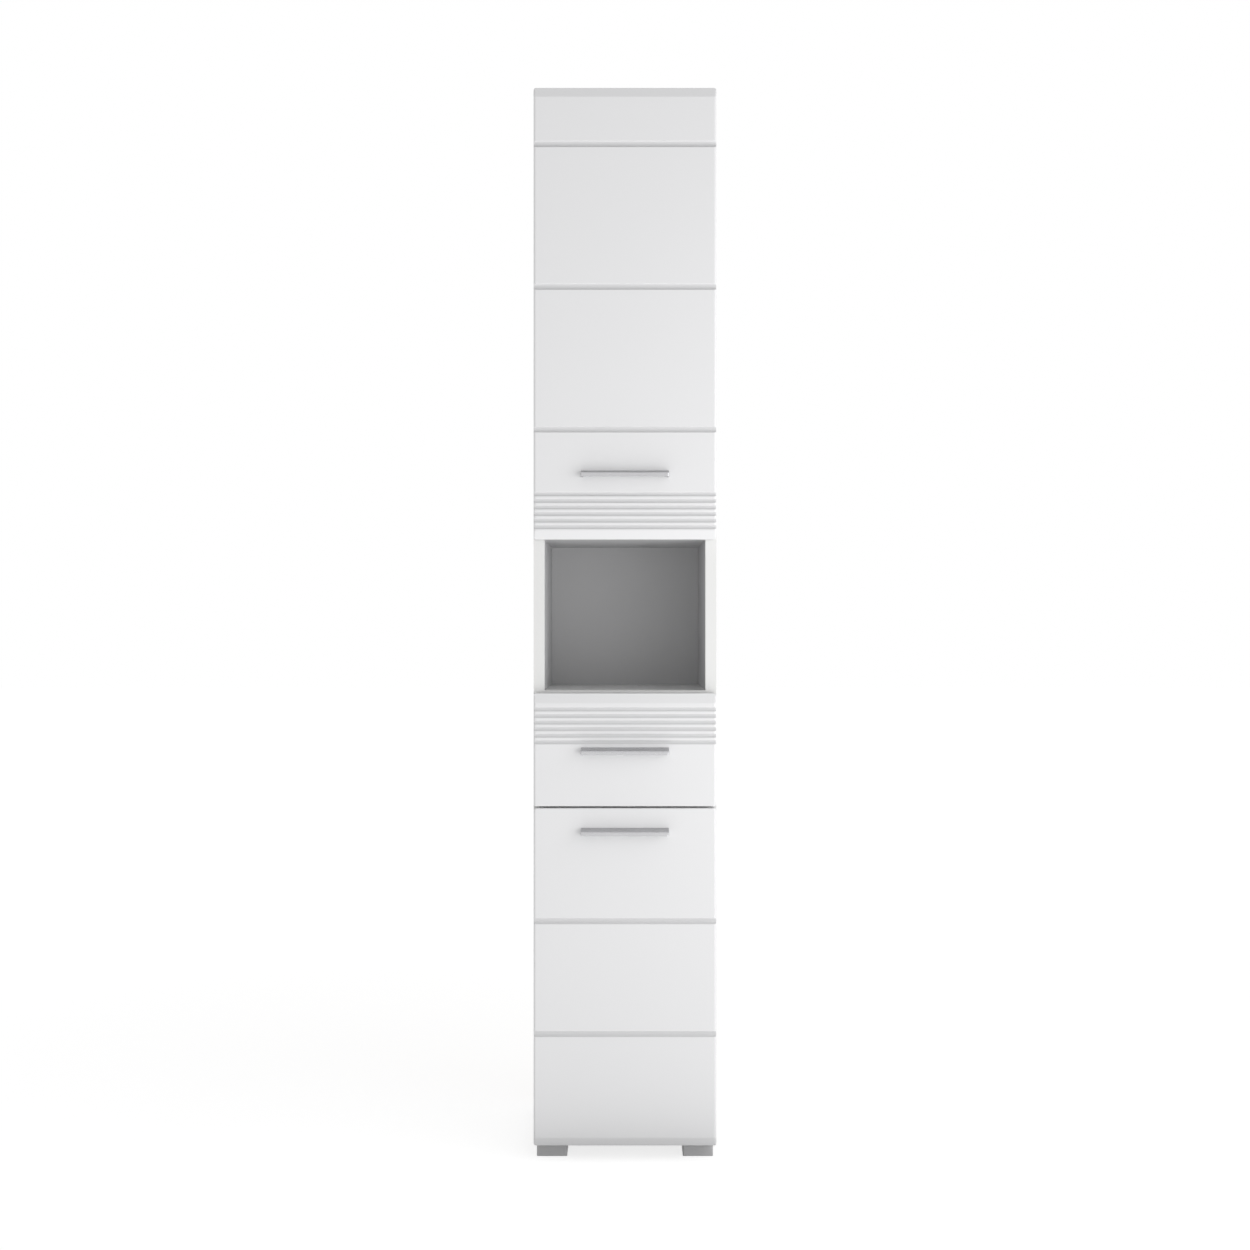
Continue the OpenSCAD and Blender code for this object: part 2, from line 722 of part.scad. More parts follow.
// A hinge arm: a channel over the plate, with its hook reaching into the cup
module hinge_arm(z) {
    difference() {
        union() {
            difference() {
                translate([-side_in + plate_wing_t + play, arm_front, z - arm_w / 2])
                    rotate([90, 0, 90]) linear_extrude(arm_h - plate_wing_t - play)
                        rounded(arm_l, arm_w, arm_r);
                block([-side_in, arm_front - cut, z - arm_w / 2 + arm_wall],
                      [-side_in + arm_h - arm_wall, arm_front + arm_l + cut, z + arm_w / 2 - arm_wall]);
            }
            translate([0, 0, z - hook_w / 2]) linear_extrude(hook_w) hook_plan();
        }
        rod_z([hinge_x, hinge_y, z - hook_w], hinge_pin_d + 2 * running, 2 * hook_w);
        for (y = arm_screw_ys)
            rod_x([-side_in + arm_h - arm_wall - cut, y, z], arm_screw_d + 2 * snug,
                  arm_wall + 2 * cut);
    }
}

module hinge_arms() { color("lightsteelblue") for (z = HINGES) hinge_arm(z); }

module hinge_arm_screws() {
    color("silver") for (z = HINGES, y = arm_screw_ys) translate([-side_in + arm_h, y, z]) {
        rod_x([-arm_screw_l + play, 0, 0], arm_screw_d, arm_screw_l - play);
        rod_x([0, 0, 0], arm_screw_head_d, arm_screw_head_h);
    }
}

// A hinge cup: a round body in the door, a flange on it and a pocket for the hook
module hinge_cup(z) {
    difference() {
        union() {
            rod_y([cup_x, y_rear_face - cup_depth, z], cup_d, cup_depth);
            translate([cup_x + cup_screw_in - cup_flange_w / 2, y_rear_face + cup_flange_t,
                       z - cup_flange_l / 2])
                rotate([90, 0, 0]) linear_extrude(cup_flange_t)
                    rounded(cup_flange_w, cup_flange_l, cup_flange_r);
            rod_y([cup_x, y_rear_face, z], cup_d, cup_flange_t);
        }
        block([pocket_left, pocket_floor, z - pocket_w / 2],
              [pocket_right, y_rear_face + cup_flange_t + cut, z + pocket_w / 2]);
        rod_z([hinge_x, hinge_y, z - pin_l / 2], hinge_pin_d, pin_l);
        for (s = [-1, 1])
            rod_y([cup_x + cup_screw_in, y_rear_face - cut, z + s * cup_screw_pitch / 2],
                  cup_screw_d + 2 * snug, cup_flange_t + 2 * cut);
    }
}

module hinge_pin(z) { rod_z([hinge_x, hinge_y, z - pin_l / 2], hinge_pin_d, pin_l); }

module cup_screw(z, s) {
    translate([cup_x + cup_screw_in, y_rear_face, z + s * cup_screw_pitch / 2]) {
        rod_y([0, cup_flange_t, 0], cup_screw_head_d, cup_screw_head_h);
        rod_y([0, -cup_screw_grip + play, 0], cup_screw_d, cup_screw_grip - play + cup_flange_t);
    }
}

module upper_hinge_cups() { color("lightsteelblue") for (z = UPPER_HINGES) hinge_cup(z); }
module lower_hinge_cups() { color("lightsteelblue") for (z = LOWER_HINGES) hinge_cup(z); }
module upper_hinge_pins() { color("silver") for (z = UPPER_HINGES) hinge_pin(z); }
module lower_hinge_pins() { color("silver") for (z = LOWER_HINGES) hinge_pin(z); }
module upper_cup_screws() { color("silver") for (z = UPPER_HINGES, s = [-1, 1]) cup_screw(z, s); }
module lower_cup_screws() { color("silver") for (z = LOWER_HINGES, s = [-1, 1]) cup_screw(z, s); }

// Plan of a front: round at the front corners, bevelled at the rear ones
module front_plan() {
    difference() {
        square([front_w, door_t]);
        for (x = [0, front_w]) translate([x, door_t]) rotate(45)
            square(rear_bevel * sqrt(2), center = true);
        for (x = [0, 1]) translate([x * front_w, 0]) mirror([x, 0]) difference() {
            translate([-cut, -cut]) square(front_edge_r + cut);
            translate([front_edge_r, front_edge_r]) circle(front_edge_r);
        }
    }
}

// Side view of a front: a bevel of its own depth and height at each end of the face
module front_profile(h, top, bottom) {
    polygon([[0, bottom[1]], [bottom[0], 0], [door_t - rear_bevel, 0], [door_t, rear_bevel],
             [door_t, h - rear_bevel], [door_t - rear_bevel, h], [top[0], h], [0, h - top[1]]]);
}

// A front from its bottom at z = 0, its face at y = 0 and its middle at x = 0
module front_blank(h, top, bottom) {
    intersection() {
        translate([-front_w / 2, 0, 0]) linear_extrude(h) front_plan();
        translate([-front_w / 2, door_t, 0]) rotate([90, 0, 0])
            linear_extrude(door_t) rounded(front_w, h, front_edge_r);
        translate([-front_w / 2, 0, 0]) rotate([90, 0, 90])
            linear_extrude(front_w) front_profile(h, top, bottom);
    }
}

// A round-bottomed groove right across a front
module groove(z, w, depth) {
    r = (w * w / 4 + depth * depth) / (2 * depth);
    rod_x([-front_w / 2 - cut, depth - r, z], 2 * r, front_w + 2 * cut);
}

WIDE = [chamfer_d, chamfer_h];
LOW_WIDE = [low_chamfer_d, low_chamfer_h];
NARROW = [edge_bevel, edge_bevel];

// Holes in a door for its hinge cups and their screws, in the cabinet's frame
module cup_holes(hinges) {
    for (z = hinges) {
        rod_y([cup_x, y_rear_face - cup_depth, z], cup_d + 2 * snug, cup_depth + cut);
        for (s = [-1, 1])
            rod_y([cup_x + cup_screw_in, y_rear_face - cup_screw_grip, z + s * cup_screw_pitch / 2],
                  cup_screw_d + 2 * snug, cup_screw_grip + cut);
    }
}

module handle_holes(z) {
    for (s = [-1, 1])
        rod_y([s * handle_pitch / 2, y_face - cut, z + handle_boss_up], handle_screw_d + 2 * snug,
              door_t + 2 * cut);
}

module upper_door_panel() {
    color("white") difference() {
        translate([0, y_face, z_upper]) difference() {
            front_blank(upper_door_h, WIDE, LOW_WIDE);
            for (i = [0 : 2])
                groove(upper_door_h - upper_groove_down - i * upper_groove_pitch, groove_w, groove_cut);
            for (i = [0 : 5]) groove(upper_rib_up + i * rib_pitch, rib_groove_w, rib_groove_cut);
        }
        cup_holes(UPPER_HINGES);
        handle_holes(z_upper_handle);
    }
}

module lower_door_panel() {
    color("white") difference() {
        translate([0, y_face, z_carcass]) difference() {
            front_blank(lower_door_h, NARROW, LOW_WIDE);
            for (i = [0 : 1])
                groove(lower_door_h - lower_groove_down - i * lower_groove_pitch, groove_w, groove_cut);
        }
        cup_holes(LOWER_HINGES);
        handle_holes(z_lower_handle);
    }
}

module drawer_front() {
    color("white") difference() {
        translate([0, y_face, z_drawer]) difference() {
            front_blank(drawer_front_h, WIDE, NARROW);
            for (i = [0 : 5])
                groove(drawer_front_h - drawer_rib_down - i * rib_pitch, rib_groove_w, rib_groove_cut);
        }
        handle_holes(z_drawer_handle);
        both_sides() for (z = z_drawer_cams)
            rod_y([-drawer_half + drawer_side_t / 2, y_rear_face - bolt_thread_l, z],
                  bolt_thread_d + 2 * snug, bolt_thread_l + cut);
        block([-drawer_half + drawer_side_t - drawer_groove, y_rear_face - drawer_groove,
               z_drawer_bottom],
              [drawer_half - drawer_side_t + drawer_groove, y_rear_face + cut,
               z_drawer_bottom + drawer_bottom_t + groove_play]);
    }
}

// Side view of a handle, or of its hollow: a sloping top, a round nose and an upright lip
module hood(back, low, top, depth, nose_r) {
    nose_x = nose_r - depth;
    nose_z = top + nose_x * tan(handle_slope) - nose_r / cos(handle_slope);
    translate([nose_x, nose_z]) circle(nose_r);
    polygon([[back, low], [back, top + back * tan(handle_slope)],
             [nose_x - nose_r * sin(handle_slope), nose_z + nose_r * cos(handle_slope)],
             [nose_x, nose_z], [-depth, nose_z], [-depth, low]]);
}

module hood_end() { hood(0, 0, handle_h, handle_d, handle_nose_r); }

module hood_profile() {
    difference() {
        hood_end();
        hood(cut, -cut, handle_h - handle_wall / cos(handle_slope), handle_d - handle_wall,
             handle_nose_r - handle_wall);
    }
}

// Plan of a handle: round at the two corners away from the front
module handle_plan() {
    translate([-handle_l / 2, -handle_d]) rounded(handle_l, handle_d, handle_end_r);
    translate([-handle_l / 2, -handle_d + handle_end_r]) square([handle_l, handle_d - handle_end_r]);
}

// A handle on a front, its underside at z: a hood, closed ends and two screw bosses
module handle(z) {
    color("silver") translate([0, y_face, z]) difference() {
        union() {
            intersection() {
                union() {
                    translate([-handle_l / 2, 0, 0]) rotate([90, 0, 90])
                        linear_extrude(handle_l) hood_profile();
                    for (x = [-handle_l / 2, handle_l / 2 - handle_end_t])
                        translate([x, 0, 0]) rotate([90, 0, 90]) linear_extrude(handle_end_t) hood_end();
                }
                translate([0, 0, -cut]) linear_extrude(handle_h + 2 * cut) handle_plan();
            }
            for (s = [-1, 1])
                rod_y([s * handle_pitch / 2, -handle_screw_grip - handle_boss_end, handle_boss_up],
                      handle_boss_d, handle_screw_grip + handle_boss_end);
        }
        for (s = [-1, 1])
            rod_y([s * handle_pitch / 2, -handle_screw_grip, handle_boss_up],
                  handle_screw_d + 2 * snug, handle_screw_grip + cut);
    }
}

module handle_screws(z) {
    color("silver") for (s = [-1, 1]) translate([s * handle_pitch / 2, y_rear_face, z + handle_boss_up]) {
        rod_y([0, 0, 0], handle_screw_head_d, handle_screw_head_h);
        rod_y([0, -door_t - handle_screw_grip + play, 0], handle_screw_d,
              door_t + handle_screw_grip - play);
    }
}

module upper_handle() { handle(z_upper_handle); }
module lower_handle() { handle(z_lower_handle); }
module drawer_handle() { handle(z_drawer_handle); }
module upper_handle_screws() { handle_screws(z_upper_handle); }
module lower_handle_screws() { handle_screws(z_lower_handle); }
module drawer_handle_screws() { handle_screws(z_drawer_handle); }

// A soft domed bumper on the rear of a front, over the edge of a side panel
module bumper(side, z) {
    translate([side * (half_w - panel_t / 2), y_rear_face, z]) rotate([-90, 0, 0]) intersection() {
        cylinder(d = bumper_d, h = bumper_h);
        translate([0, 0, bumper_h - bumper_dome_r]) sphere(bumper_dome_r);
    }
}

module upper_door_bumpers() {
    color("gainsboro") for (z = [z_upper + bumper_edge, z_top - bumper_edge]) bumper(1, z);
}

module lower_door_bumpers() {
    color("gainsboro") for (z = [z_carcass + bumper_edge, z_lower_top - bumper_edge]) bumper(1, z);
}

module drawer_bumpers() {
    color("gainsboro") for (s = [-1, 1]) bumper(s, z_drawer_top - bumper_edge);
}

// The left side of the drawer
module drawer_side_blank() {
    y_end = y_rear_face + drawer_l;
    difference() {
        block([-drawer_half, y_rear_face, z_drawer_box],
              [-drawer_half + drawer_side_t, y_end, z_drawer_box + drawer_side_h]);
        block([-drawer_half + drawer_side_t - drawer_groove, y_rear_face - cut, z_drawer_bottom],
              [-drawer_half + drawer_side_t + cut, y_end + cut,
               z_drawer_bottom + drawer_bottom_t + groove_play]);
        for (z = z_drawer_cams) {
            rod_x([-drawer_half + drawer_side_t - drawer_cam_h, y_rear_face + drawer_cam_in, z],
                  drawer_cam_d + 2 * snug, drawer_cam_h + cut);
            rod_y([-drawer_half + drawer_side_t / 2, y_rear_face - cut, z], drawer_bore_d,
                  drawer_cam_in + cut);
            rod_x([-drawer_half - cut, y_end - drawer_side_t / 2, z + drawer_bottom_t],
                  drawer_back_screw_d + 2 * snug, drawer_side_t + 2 * cut);
        }
    }
}

module drawer_left_side() { color("whitesmoke") drawer_side_blank(); }
module drawer_right_side() { color("whitesmoke") mirror([1, 0, 0]) drawer_side_blank(); }

module drawer_back() {
    y_end = y_rear_face + drawer_l;
    z_low = z_drawer_bottom + drawer_bottom_t + groove_play;
    color("whitesmoke") difference() {
        block([-drawer_half + drawer_side_t, y_end - drawer_side_t, z_low],
              [drawer_half - drawer_side_t, y_end, z_drawer_box + drawer_side_h]);
        both_sides() for (z = z_drawer_cams)
            rod_x([-drawer_half + drawer_side_t - cut, y_end - drawer_side_t / 2, z + drawer_bottom_t],
                  drawer_back_screw_d + 2 * snug, drawer_back_screw_l - drawer_side_t + cut);
    }
}

module drawer_bottom() {
    w = drawer_half - drawer_side_t + drawer_groove - groove_end_play;
    color("whitesmoke") block([-w, y_rear_face - drawer_groove + groove_end_play, z_drawer_bottom],
                              [w, y_rear_face + drawer_l, z_drawer_bottom + drawer_bottom_t]);
}

// Cam locks in the drawer's sides, open to the front for their bolts
module drawer_cam_locks() {
    color("silver") both_sides() for (z = z_drawer_cams)
        translate([-drawer_half + drawer_side_t - drawer_cam_h, y_rear_face + drawer_cam_in, z])
            rotate([0, 90, 0]) rotate(90)
                cam_lock(drawer_cam_d, drawer_cam_h, drawer_cam_h - drawer_side_t / 2);
}

module drawer_cam_bolts() {
    color("silver") both_sides() for (z = z_drawer_cams)
        translate([-drawer_half + drawer_side_t / 2, y_rear_face, z])
            rotate(90) cam_bolt(bolt_thread_l - play, drawer_cam_in);
}

module drawer_back_screws() {
    y = y_rear_face + drawer_l - drawer_side_t / 2;
    color("silver") both_sides() for (z = z_drawer_cams) {
        rod_x([-drawer_half - drawer_back_screw_head_h, y, z + drawer_bottom_t],
              drawer_back_screw_head_d, drawer_back_screw_head_h);
        rod_x([-drawer_half, y, z + drawer_bottom_t], drawer_back_screw_d, drawer_back_screw_l - play);
    }
}

// A cutter for a spare oblong hole in a cabinet rail
module rail_slot(x, y, z) {
    for (s = [-1, 1]) rod_x([x - cut, y + s * rail_slot_l / 2, z], rail_slot_d, rail_t + 2 * cut);
    block([x - cut, y - rail_slot_l / 2, z - rail_slot_d / 2],
          [x + rail_t + cut, y + rail_slot_l / 2, z + rail_slot_d / 2]);
}

// The left cabinet rail: a channel open to the drawer and closed behind, with its front roller's pin
module cabinet_rail() {
    x = -side_in;
    top = z_track + rail_inner_h;
    difference() {
        union() {
            block([x, rail_y, z_rail], [x + rail_t, rail_y + rail_l, top + rail_t]);
            block([x, rail_y, z_rail], [x + rail_t + rail_flange_w, rail_y + rail_l, z_track]);
            block([x, rail_y, top],
                  [x + rail_t + rail_flange_w - rail_top_short, rail_y + rail_l, top + rail_t]);
            block([x, rail_y + rail_l - rail_t, z_rail],
                  [x + rail_t + rail_flange_w - rail_top_short, rail_y + rail_l, top + rail_t]);
            rod_x([x, front_roller_y, z_track + roller_high + roller_r], roller_pin_d,
                  rail_t + roller_w + 2 * play);
        }
        for (y = rail_screw_ys)
            rod_x([x - cut, y, z_track + rail_inner_h / 2], rail_screw_head_d + 2 * snug, rail_t + 2 * cut);
        for (i = [0, 1])
            rail_slot(x, (rail_screw_ys[i] + rail_screw_ys[i + 1]) / 2, z_track + rail_inner_h / 2);
    }
}

module left_cabinet_rail() { color("ghostwhite") cabinet_rail(); }
module right_cabinet_rail() { color("ghostwhite") mirror([1, 0, 0]) cabinet_rail(); }

module rail_screws() {
    color("silver") both_sides() for (y = rail_screw_ys)
        translate([-side_in, y, z_track + rail_inner_h / 2]) {
            rod_x([0, 0, 0], rail_screw_head_d, rail_screw_head_h);
            rod_x([-rail_screw_l + play, 0, 0], rail_screw_d, rail_screw_l - play);
        }
}

// The left drawer rail: a foot under the drawer's side, a web and a flange that runs on the front roller
module drawer_rail() {
    x = -drawer_half;
    top = z_track + rail_flange_z;
    y = y_rear_face + drawer_rail_in;
    y_end = y_rear_face + drawer_l;
    block([x - rail_t, y, z_drawer_box - rail_t], [x + drawer_rail_foot, y_end, z_drawer_box]);
    block([x - rail_t, y, z_drawer_box - rail_t], [x, y_end, top + rail_t]);
    block([x - rail_t - rail_flange_w + play, y, top], [x, y_end, top + rail_t]);
    rod_x([x - rail_t - roller_w - 2 * play, rear_roller_y, z_track + roller_low + roller_r],
          roller_pin_d, rail_t + roller_w + 2 * play);
}

module left_drawer_rail() { color("ghostwhite") drawer_rail(); }
module right_drawer_rail() { color("ghostwhite") mirror([1, 0, 0]) drawer_rail(); }

// A roller along X from x = 0: a hub, a web and a rim with eased edges
module roller() {
    rim_in = roller_r - roller_rim;
    rotate([0, 90, 0]) rotate_extrude()
        polygon([[roller_bore_r, 0], [roller_hub_r, 0], [roller_hub_r, roller_recess],
                 [rim_in, roller_recess], [rim_in, 0], [roller_r - roller_edge, 0],
                 [roller_r, roller_edge], [roller_r, roller_w - roller_edge],
                 [roller_r - roller_edge, roller_w], [rim_in, roller_w],
                 [rim_in, roller_w - roller_recess], [roller_hub_r, roller_w - roller_recess],
                 [roller_hub_r, roller_w], [roller_bore_r, roller_w]]);
}

module front_rollers() {
    color("ivory") both_sides()
        translate([-side_in + rail_t + play, front_roller_y, z_track + roller_high + roller_r]) roller();
}

module rear_rollers() {
    color("ivory") both_sides()
        translate([-drawer_half - rail_t - roller_w - play, rear_roller_y, z_track + roller_low + roller_r])
            roller();
}

left_side();
right_side();
top_panel();
bottom_panel();
niche_ceiling();
niche_floor();
drawer_divider();
upper_back();
niche_back();
lower_back();
high_shelf();
low_shelf();
lower_shelf();
shelf_pins();
cam_locks();
cam_bolts();
dowels();
front_left_foot();
front_right_foot();
rear_left_foot();
rear_right_foot();
foot_screws();
wall_bracket();
bracket_screws();
hinge_plates();
hinge_plate_screws();
hinge_arms();
hinge_arm_screws();
left_cabinet_rail();
right_cabinet_rail();
rail_screws();
front_rollers();
upper_door_panel();
upper_handle();
upper_handle_screws();
upper_hinge_cups();
upper_hinge_pins();
upper_cup_screws();
upper_door_bumpers();
lower_door_panel();
lower_handle();
lower_handle_screws();
lower_hinge_cups();
lower_hinge_pins();
lower_cup_screws();
lower_door_bumpers();
drawer_front();
drawer_left_side();
drawer_right_side();
drawer_back();
drawer_bottom();
drawer_handle();
drawer_handle_screws();
drawer_cam_locks();
drawer_cam_bolts();
drawer_back_screws();
left_drawer_rail();
right_drawer_rail();
rear_rollers();
drawer_bumpers();
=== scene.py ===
"""The looks of a tall bathroom cabinet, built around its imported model.

Laid out as an add-on and run as a script."""

import json
import math

import bmesh
import bpy
from bpy.props import FloatProperty, FloatVectorProperty, PointerProperty
from mathutils import Matrix, Vector


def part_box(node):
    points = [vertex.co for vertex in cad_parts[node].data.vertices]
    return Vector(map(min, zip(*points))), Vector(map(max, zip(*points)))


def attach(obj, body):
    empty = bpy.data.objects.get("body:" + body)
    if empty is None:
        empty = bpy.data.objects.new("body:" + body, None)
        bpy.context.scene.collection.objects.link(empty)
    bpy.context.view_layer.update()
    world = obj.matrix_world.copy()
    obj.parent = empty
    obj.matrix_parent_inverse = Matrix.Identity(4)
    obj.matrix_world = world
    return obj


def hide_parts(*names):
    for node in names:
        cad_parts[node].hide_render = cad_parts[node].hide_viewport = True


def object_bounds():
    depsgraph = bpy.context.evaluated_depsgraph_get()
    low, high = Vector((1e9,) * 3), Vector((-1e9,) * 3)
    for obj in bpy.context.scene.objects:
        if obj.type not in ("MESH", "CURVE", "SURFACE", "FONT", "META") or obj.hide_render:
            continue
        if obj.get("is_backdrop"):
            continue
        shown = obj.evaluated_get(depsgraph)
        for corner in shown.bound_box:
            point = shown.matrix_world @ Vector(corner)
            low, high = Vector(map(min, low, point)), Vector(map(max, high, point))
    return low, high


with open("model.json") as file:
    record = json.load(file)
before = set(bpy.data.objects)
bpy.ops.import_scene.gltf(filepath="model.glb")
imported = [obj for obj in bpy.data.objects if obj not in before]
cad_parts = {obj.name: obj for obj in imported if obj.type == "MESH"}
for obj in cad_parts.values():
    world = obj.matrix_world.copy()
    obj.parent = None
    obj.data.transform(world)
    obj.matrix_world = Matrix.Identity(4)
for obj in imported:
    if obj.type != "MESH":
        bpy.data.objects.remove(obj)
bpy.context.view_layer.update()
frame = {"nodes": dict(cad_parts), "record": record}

bl_info = {
    "name": "Tall bathroom cabinet",
    "version": (1, 0, 0),
    "blender": (4, 5, 0),
    "location": "3D View > Sidebar > Cabinet",
    "description": "Builds the fronts, fittings, finishes and stage of a tall bathroom cabinet",
    "category": "Object",
}

NODES = frame["nodes"]
BODY_OF = {node: body for body, nodes in frame["record"]["behaviour"]["bodies"].items() for node in nodes}
HANDLES = ("upper_handle", "lower_handle", "drawer_handle")
WOOD_SCREWS = ("rail_screws", "bracket_screws", "foot_screws", "upper_cup_screws", "lower_cup_screws",
               "drawer_back_screws", "hinge_plate_screws")
MACHINE_SCREWS = ("hinge_arm_screws", "upper_handle_screws", "lower_handle_screws", "drawer_handle_screws")

MM = 0.001
QUARTER = math.pi / 2
WELD = 0.00001              # Points nearer than this are one
PLAY = 0.05 * MM            # By how much the radius of a bore passes what sits in it
OVER = 1 * MM               # How far a cutter stands out of the face that it opens
CREASE = math.radians(35)   # An edge sharper than this stays sharp to the eye
CORNER = math.radians(40)   # An edge sharper than this is softened
LEVEL = math.radians(0.5)   # Faces that differ by less than this are one


def linear(code):
    """An sRGB hex colour as a linear RGBA list."""
    shares = [int(code[i:i + 2], 16) / 255 for i in (1, 3, 5)]
    return [s / 12.92 if s <= 0.04045 else ((s + 0.055) / 1.055) ** 2.4 for s in shares] + [1.0]


def shaded(colour, share):
    """A colour made darker or lighter by a share of its light."""
    return [min(1.0, part * share) for part in colour[:3]] + [1.0]


def size_of(name, value, description):
    """A length property whose default is in millimetres."""
    return FloatProperty(name=name, description=description, default=value * MM, min=0, unit="LENGTH",
                         precision=5)


def colour_of(name, code, description):
    """A colour property whose default is an sRGB hex colour."""
    return FloatVectorProperty(name=name, description=description, default=linear(code), size=4, min=0,
                               max=1, subtype="COLOR")


class CabinetFronts(bpy.types.PropertyGroup):
    """Sizes of the profile milled into the doors and the drawer front."""
    edge_r: size_of("Edge rounding", 4, "Rounding of the upright edges and the corners")
    rear_bevel: size_of("Rear bevel", 1, "Bevel round the rear face")
    top_chamfer_h: size_of("Top chamfer height", 16, "Height of the wide chamfers at the tops")
    top_chamfer_d: size_of("Top chamfer depth", 5, "Depth of the wide chamfers at the tops")
    low_chamfer_h: size_of("Low chamfer height", 14, "Height of the wide chamfers at the bottoms")
    low_chamfer_d: size_of("Low chamfer depth", 4.5, "Depth of the wide chamfers at the bottoms")
    chamfer_soft: size_of("Chamfer softening", 1, "Half the height over which a chamfer turns to the face")
    end_r: size_of("End rounding", 0.9, "Rounding where a wide chamfer meets the end")
    straight_r: size_of("Straight end rounding", 1.8, "Rounding of an end without a wide chamfer")
    groove_w: size_of("Groove width", 10, "Width of a single groove")
    groove_cut: size_of("Groove depth", 3, "Depth of a single groove")
    upper_groove_down: size_of("First groove", 93, "From the upper door's top to its first groove")
    upper_groove_pitch: size_of("Upper groove spacing", 232.5, "Spacing of the upper door's grooves")
    lower_groove_pitch: size_of("Lower groove spacing", 184, "Spacing of the lower door's grooves")
    rib_w: size_of("Rib groove width", 7, "Width of a groove in the bands of ribs")
    rib_cut: size_of("Rib groove depth", 2, "Depth of a groove in the bands of ribs")
    rib_pitch: size_of("Rib spacing", 10.7, "Spacing of the grooves in the bands of ribs")
    upper_rib_up: size_of("Upper ribs", 20, "From the upper door's bottom to its first rib groove")
    drawer_rib_down: size_of("Drawer ribs", 26, "From the drawer front's top to its first rib groove")
    lip_r: size_of("Lip rounding", 0.8, "Rounding that the foil gives to the lips of the grooves")


class CabinetHandle(bpy.types.PropertyGroup):
    """Sizes of the hooded pulls."""
    wall: size_of("Wall", 2.2, "Thickness of the hood")
    end_wall: size_of("End wall", 3, "Thickness of the closed ends")
    nose_r: size_of("Nose", 3, "Rounding of the hood's front")
    end_r: size_of("Corners", 3, "Rounding of the hood's two front corners, seen from above")
    slope: FloatProperty(name="Slope", description="Fall of the hood's top toward the user",
                         default=math.radians(13.5), unit="ROTATION")
    boss_r: size_of("Boss radius", 3.3, "Radius of the screw bosses in the hood")
    boss_l: size_of("Boss length", 10, "Length of the screw bosses")
    bore_r: size_of("Bore radius", 2.05, "Radius of the bores in the bosses")
    bore_l: size_of("Bore length", 8, "Length of the bores in the bosses")
    soft: size_of("Softening", 0.45, "Rounding of the hood's edges")


class CabinetFittings(bpy.types.PropertyGroup):
    """Sizes of the screws, bolts and dowels."""
    thread_pitch: size_of("Thread pitch", 1.8, "Rise of a wood thread in one turn")
    machine_pitch: size_of("Machine thread pitch", 0.9, "Rise of a machine thread, coarser than real")
    flute_depth: size_of("Flute depth", 0.35, "Depth of the glue flutes of a dowel")
    recess_w: size_of("Recess width", 1.0, "Width of a blade of the cross recesses")


class CabinetFinishes(bpy.types.PropertyGroup):
    """Colours of the finishes, and the greys painted in as shade in the grooves and in the niche."""
    foil: colour_of("Foil", "#E4E4E5", "White gloss foil of the fronts")
    # Painted shade: this greyer colour of the foil goes into the grooves for the shade that falls in them.
    groove_shade: colour_of("Painted groove shade", "#CFCFD0", "The same foil where it is drawn into a groove")
    melamine: colour_of("Melamine", "#E4E4E3", "White melamine of the boards")
    # Painted shade: this grey on the niche's walls, ceiling and back stands for the shade that falls in
    # the niche.
    niche_shade_grey: colour_of("Niche", "#C4C4C5", "Grey walls, ceiling and back of the niche")
    band: colour_of("Edge band", "#E3E3E2", "White band glued to the boards' edges")
    chip_light: colour_of("Light chips", "#C9A878", "Pale wood chips of raw chipboard")
    chip_dark: colour_of("Dark chips", "#8F6B44", "Dark wood chips and bark of raw chipboard")
    fibre: colour_of("Fibreboard", "#B08E68", "Raw medium-density fibreboard")
    back_front: colour_of("Back, front", "#E2E2E0", "Lacquered face of the thin hardboard")
    back_rear: colour_of("Back, rear", "#8C6A48", "Raw rear face of the thin hardboard")
    handle: colour_of("Handle", "#C6C6C8", "Satin metal of the pulls")
    foot: colour_of("Foot", "#D2D2D3", "Silver grey plastic of the feet")
    nickel: colour_of("Nickel", "#CFCAC0", "Nickel plating of the hinges and screws")
    zinc: colour_of("Zinc", "#A4A7AB", "Die-cast zinc of the cam locks")
    rail: colour_of("Rails", "#E6E6E3", "White powder coat of the rails")
    nylon: colour_of("Nylon", "#E9E6DA", "Natural nylon of the rollers")
    bumper: colour_of("Bumpers", "#EEF1F1", "Clear soft plastic of the bumpers")
    beech: colour_of("Beech", "#CDA877", "Bare beech of the dowels")


class CabinetStage(bpy.types.PropertyGroup):
    """Light levels, the floor and the camera."""
    sky: FloatProperty(name="Light from above", description="Radiance of the studio over the horizon",
                       default=0.54, min=0)
    ground: FloatProperty(name="Light from below", description="Radiance of the bright studio floor",
                          default=1.25, min=0)
    left: FloatProperty(name="Light from the left", description="Share of it that the left side gives",
                        default=0.55, min=0, max=1)
    fill: FloatProperty(name="Fill", description="Power of the soft fill at the right", default=8.6, min=0,
                        unit="POWER")
    distance: FloatProperty(name="Camera distance", description="From the fronts to the camera",
                            default=2.7, min=0.5, unit="LENGTH")
    eye: FloatProperty(name="Camera height", description="Height of the camera over the floor",
                       default=0.8734, min=0, unit="LENGTH")
    lens: FloatProperty(name="Focal length", description="Focal length on a sensor 36 mm wide",
                        default=47.74, min=10, unit="CAMERA")


GROUPS = {"cabinet_fronts": CabinetFronts, "cabinet_handle": CabinetHandle,
          "cabinet_fittings": CabinetFittings, "cabinet_finishes": CabinetFinishes,
          "cabinet_stage": CabinetStage}


def paint(name):
    """A colour of the finishes as a list."""
    return list(getattr(bpy.context.scene.cabinet_finishes, name))


# Finishes

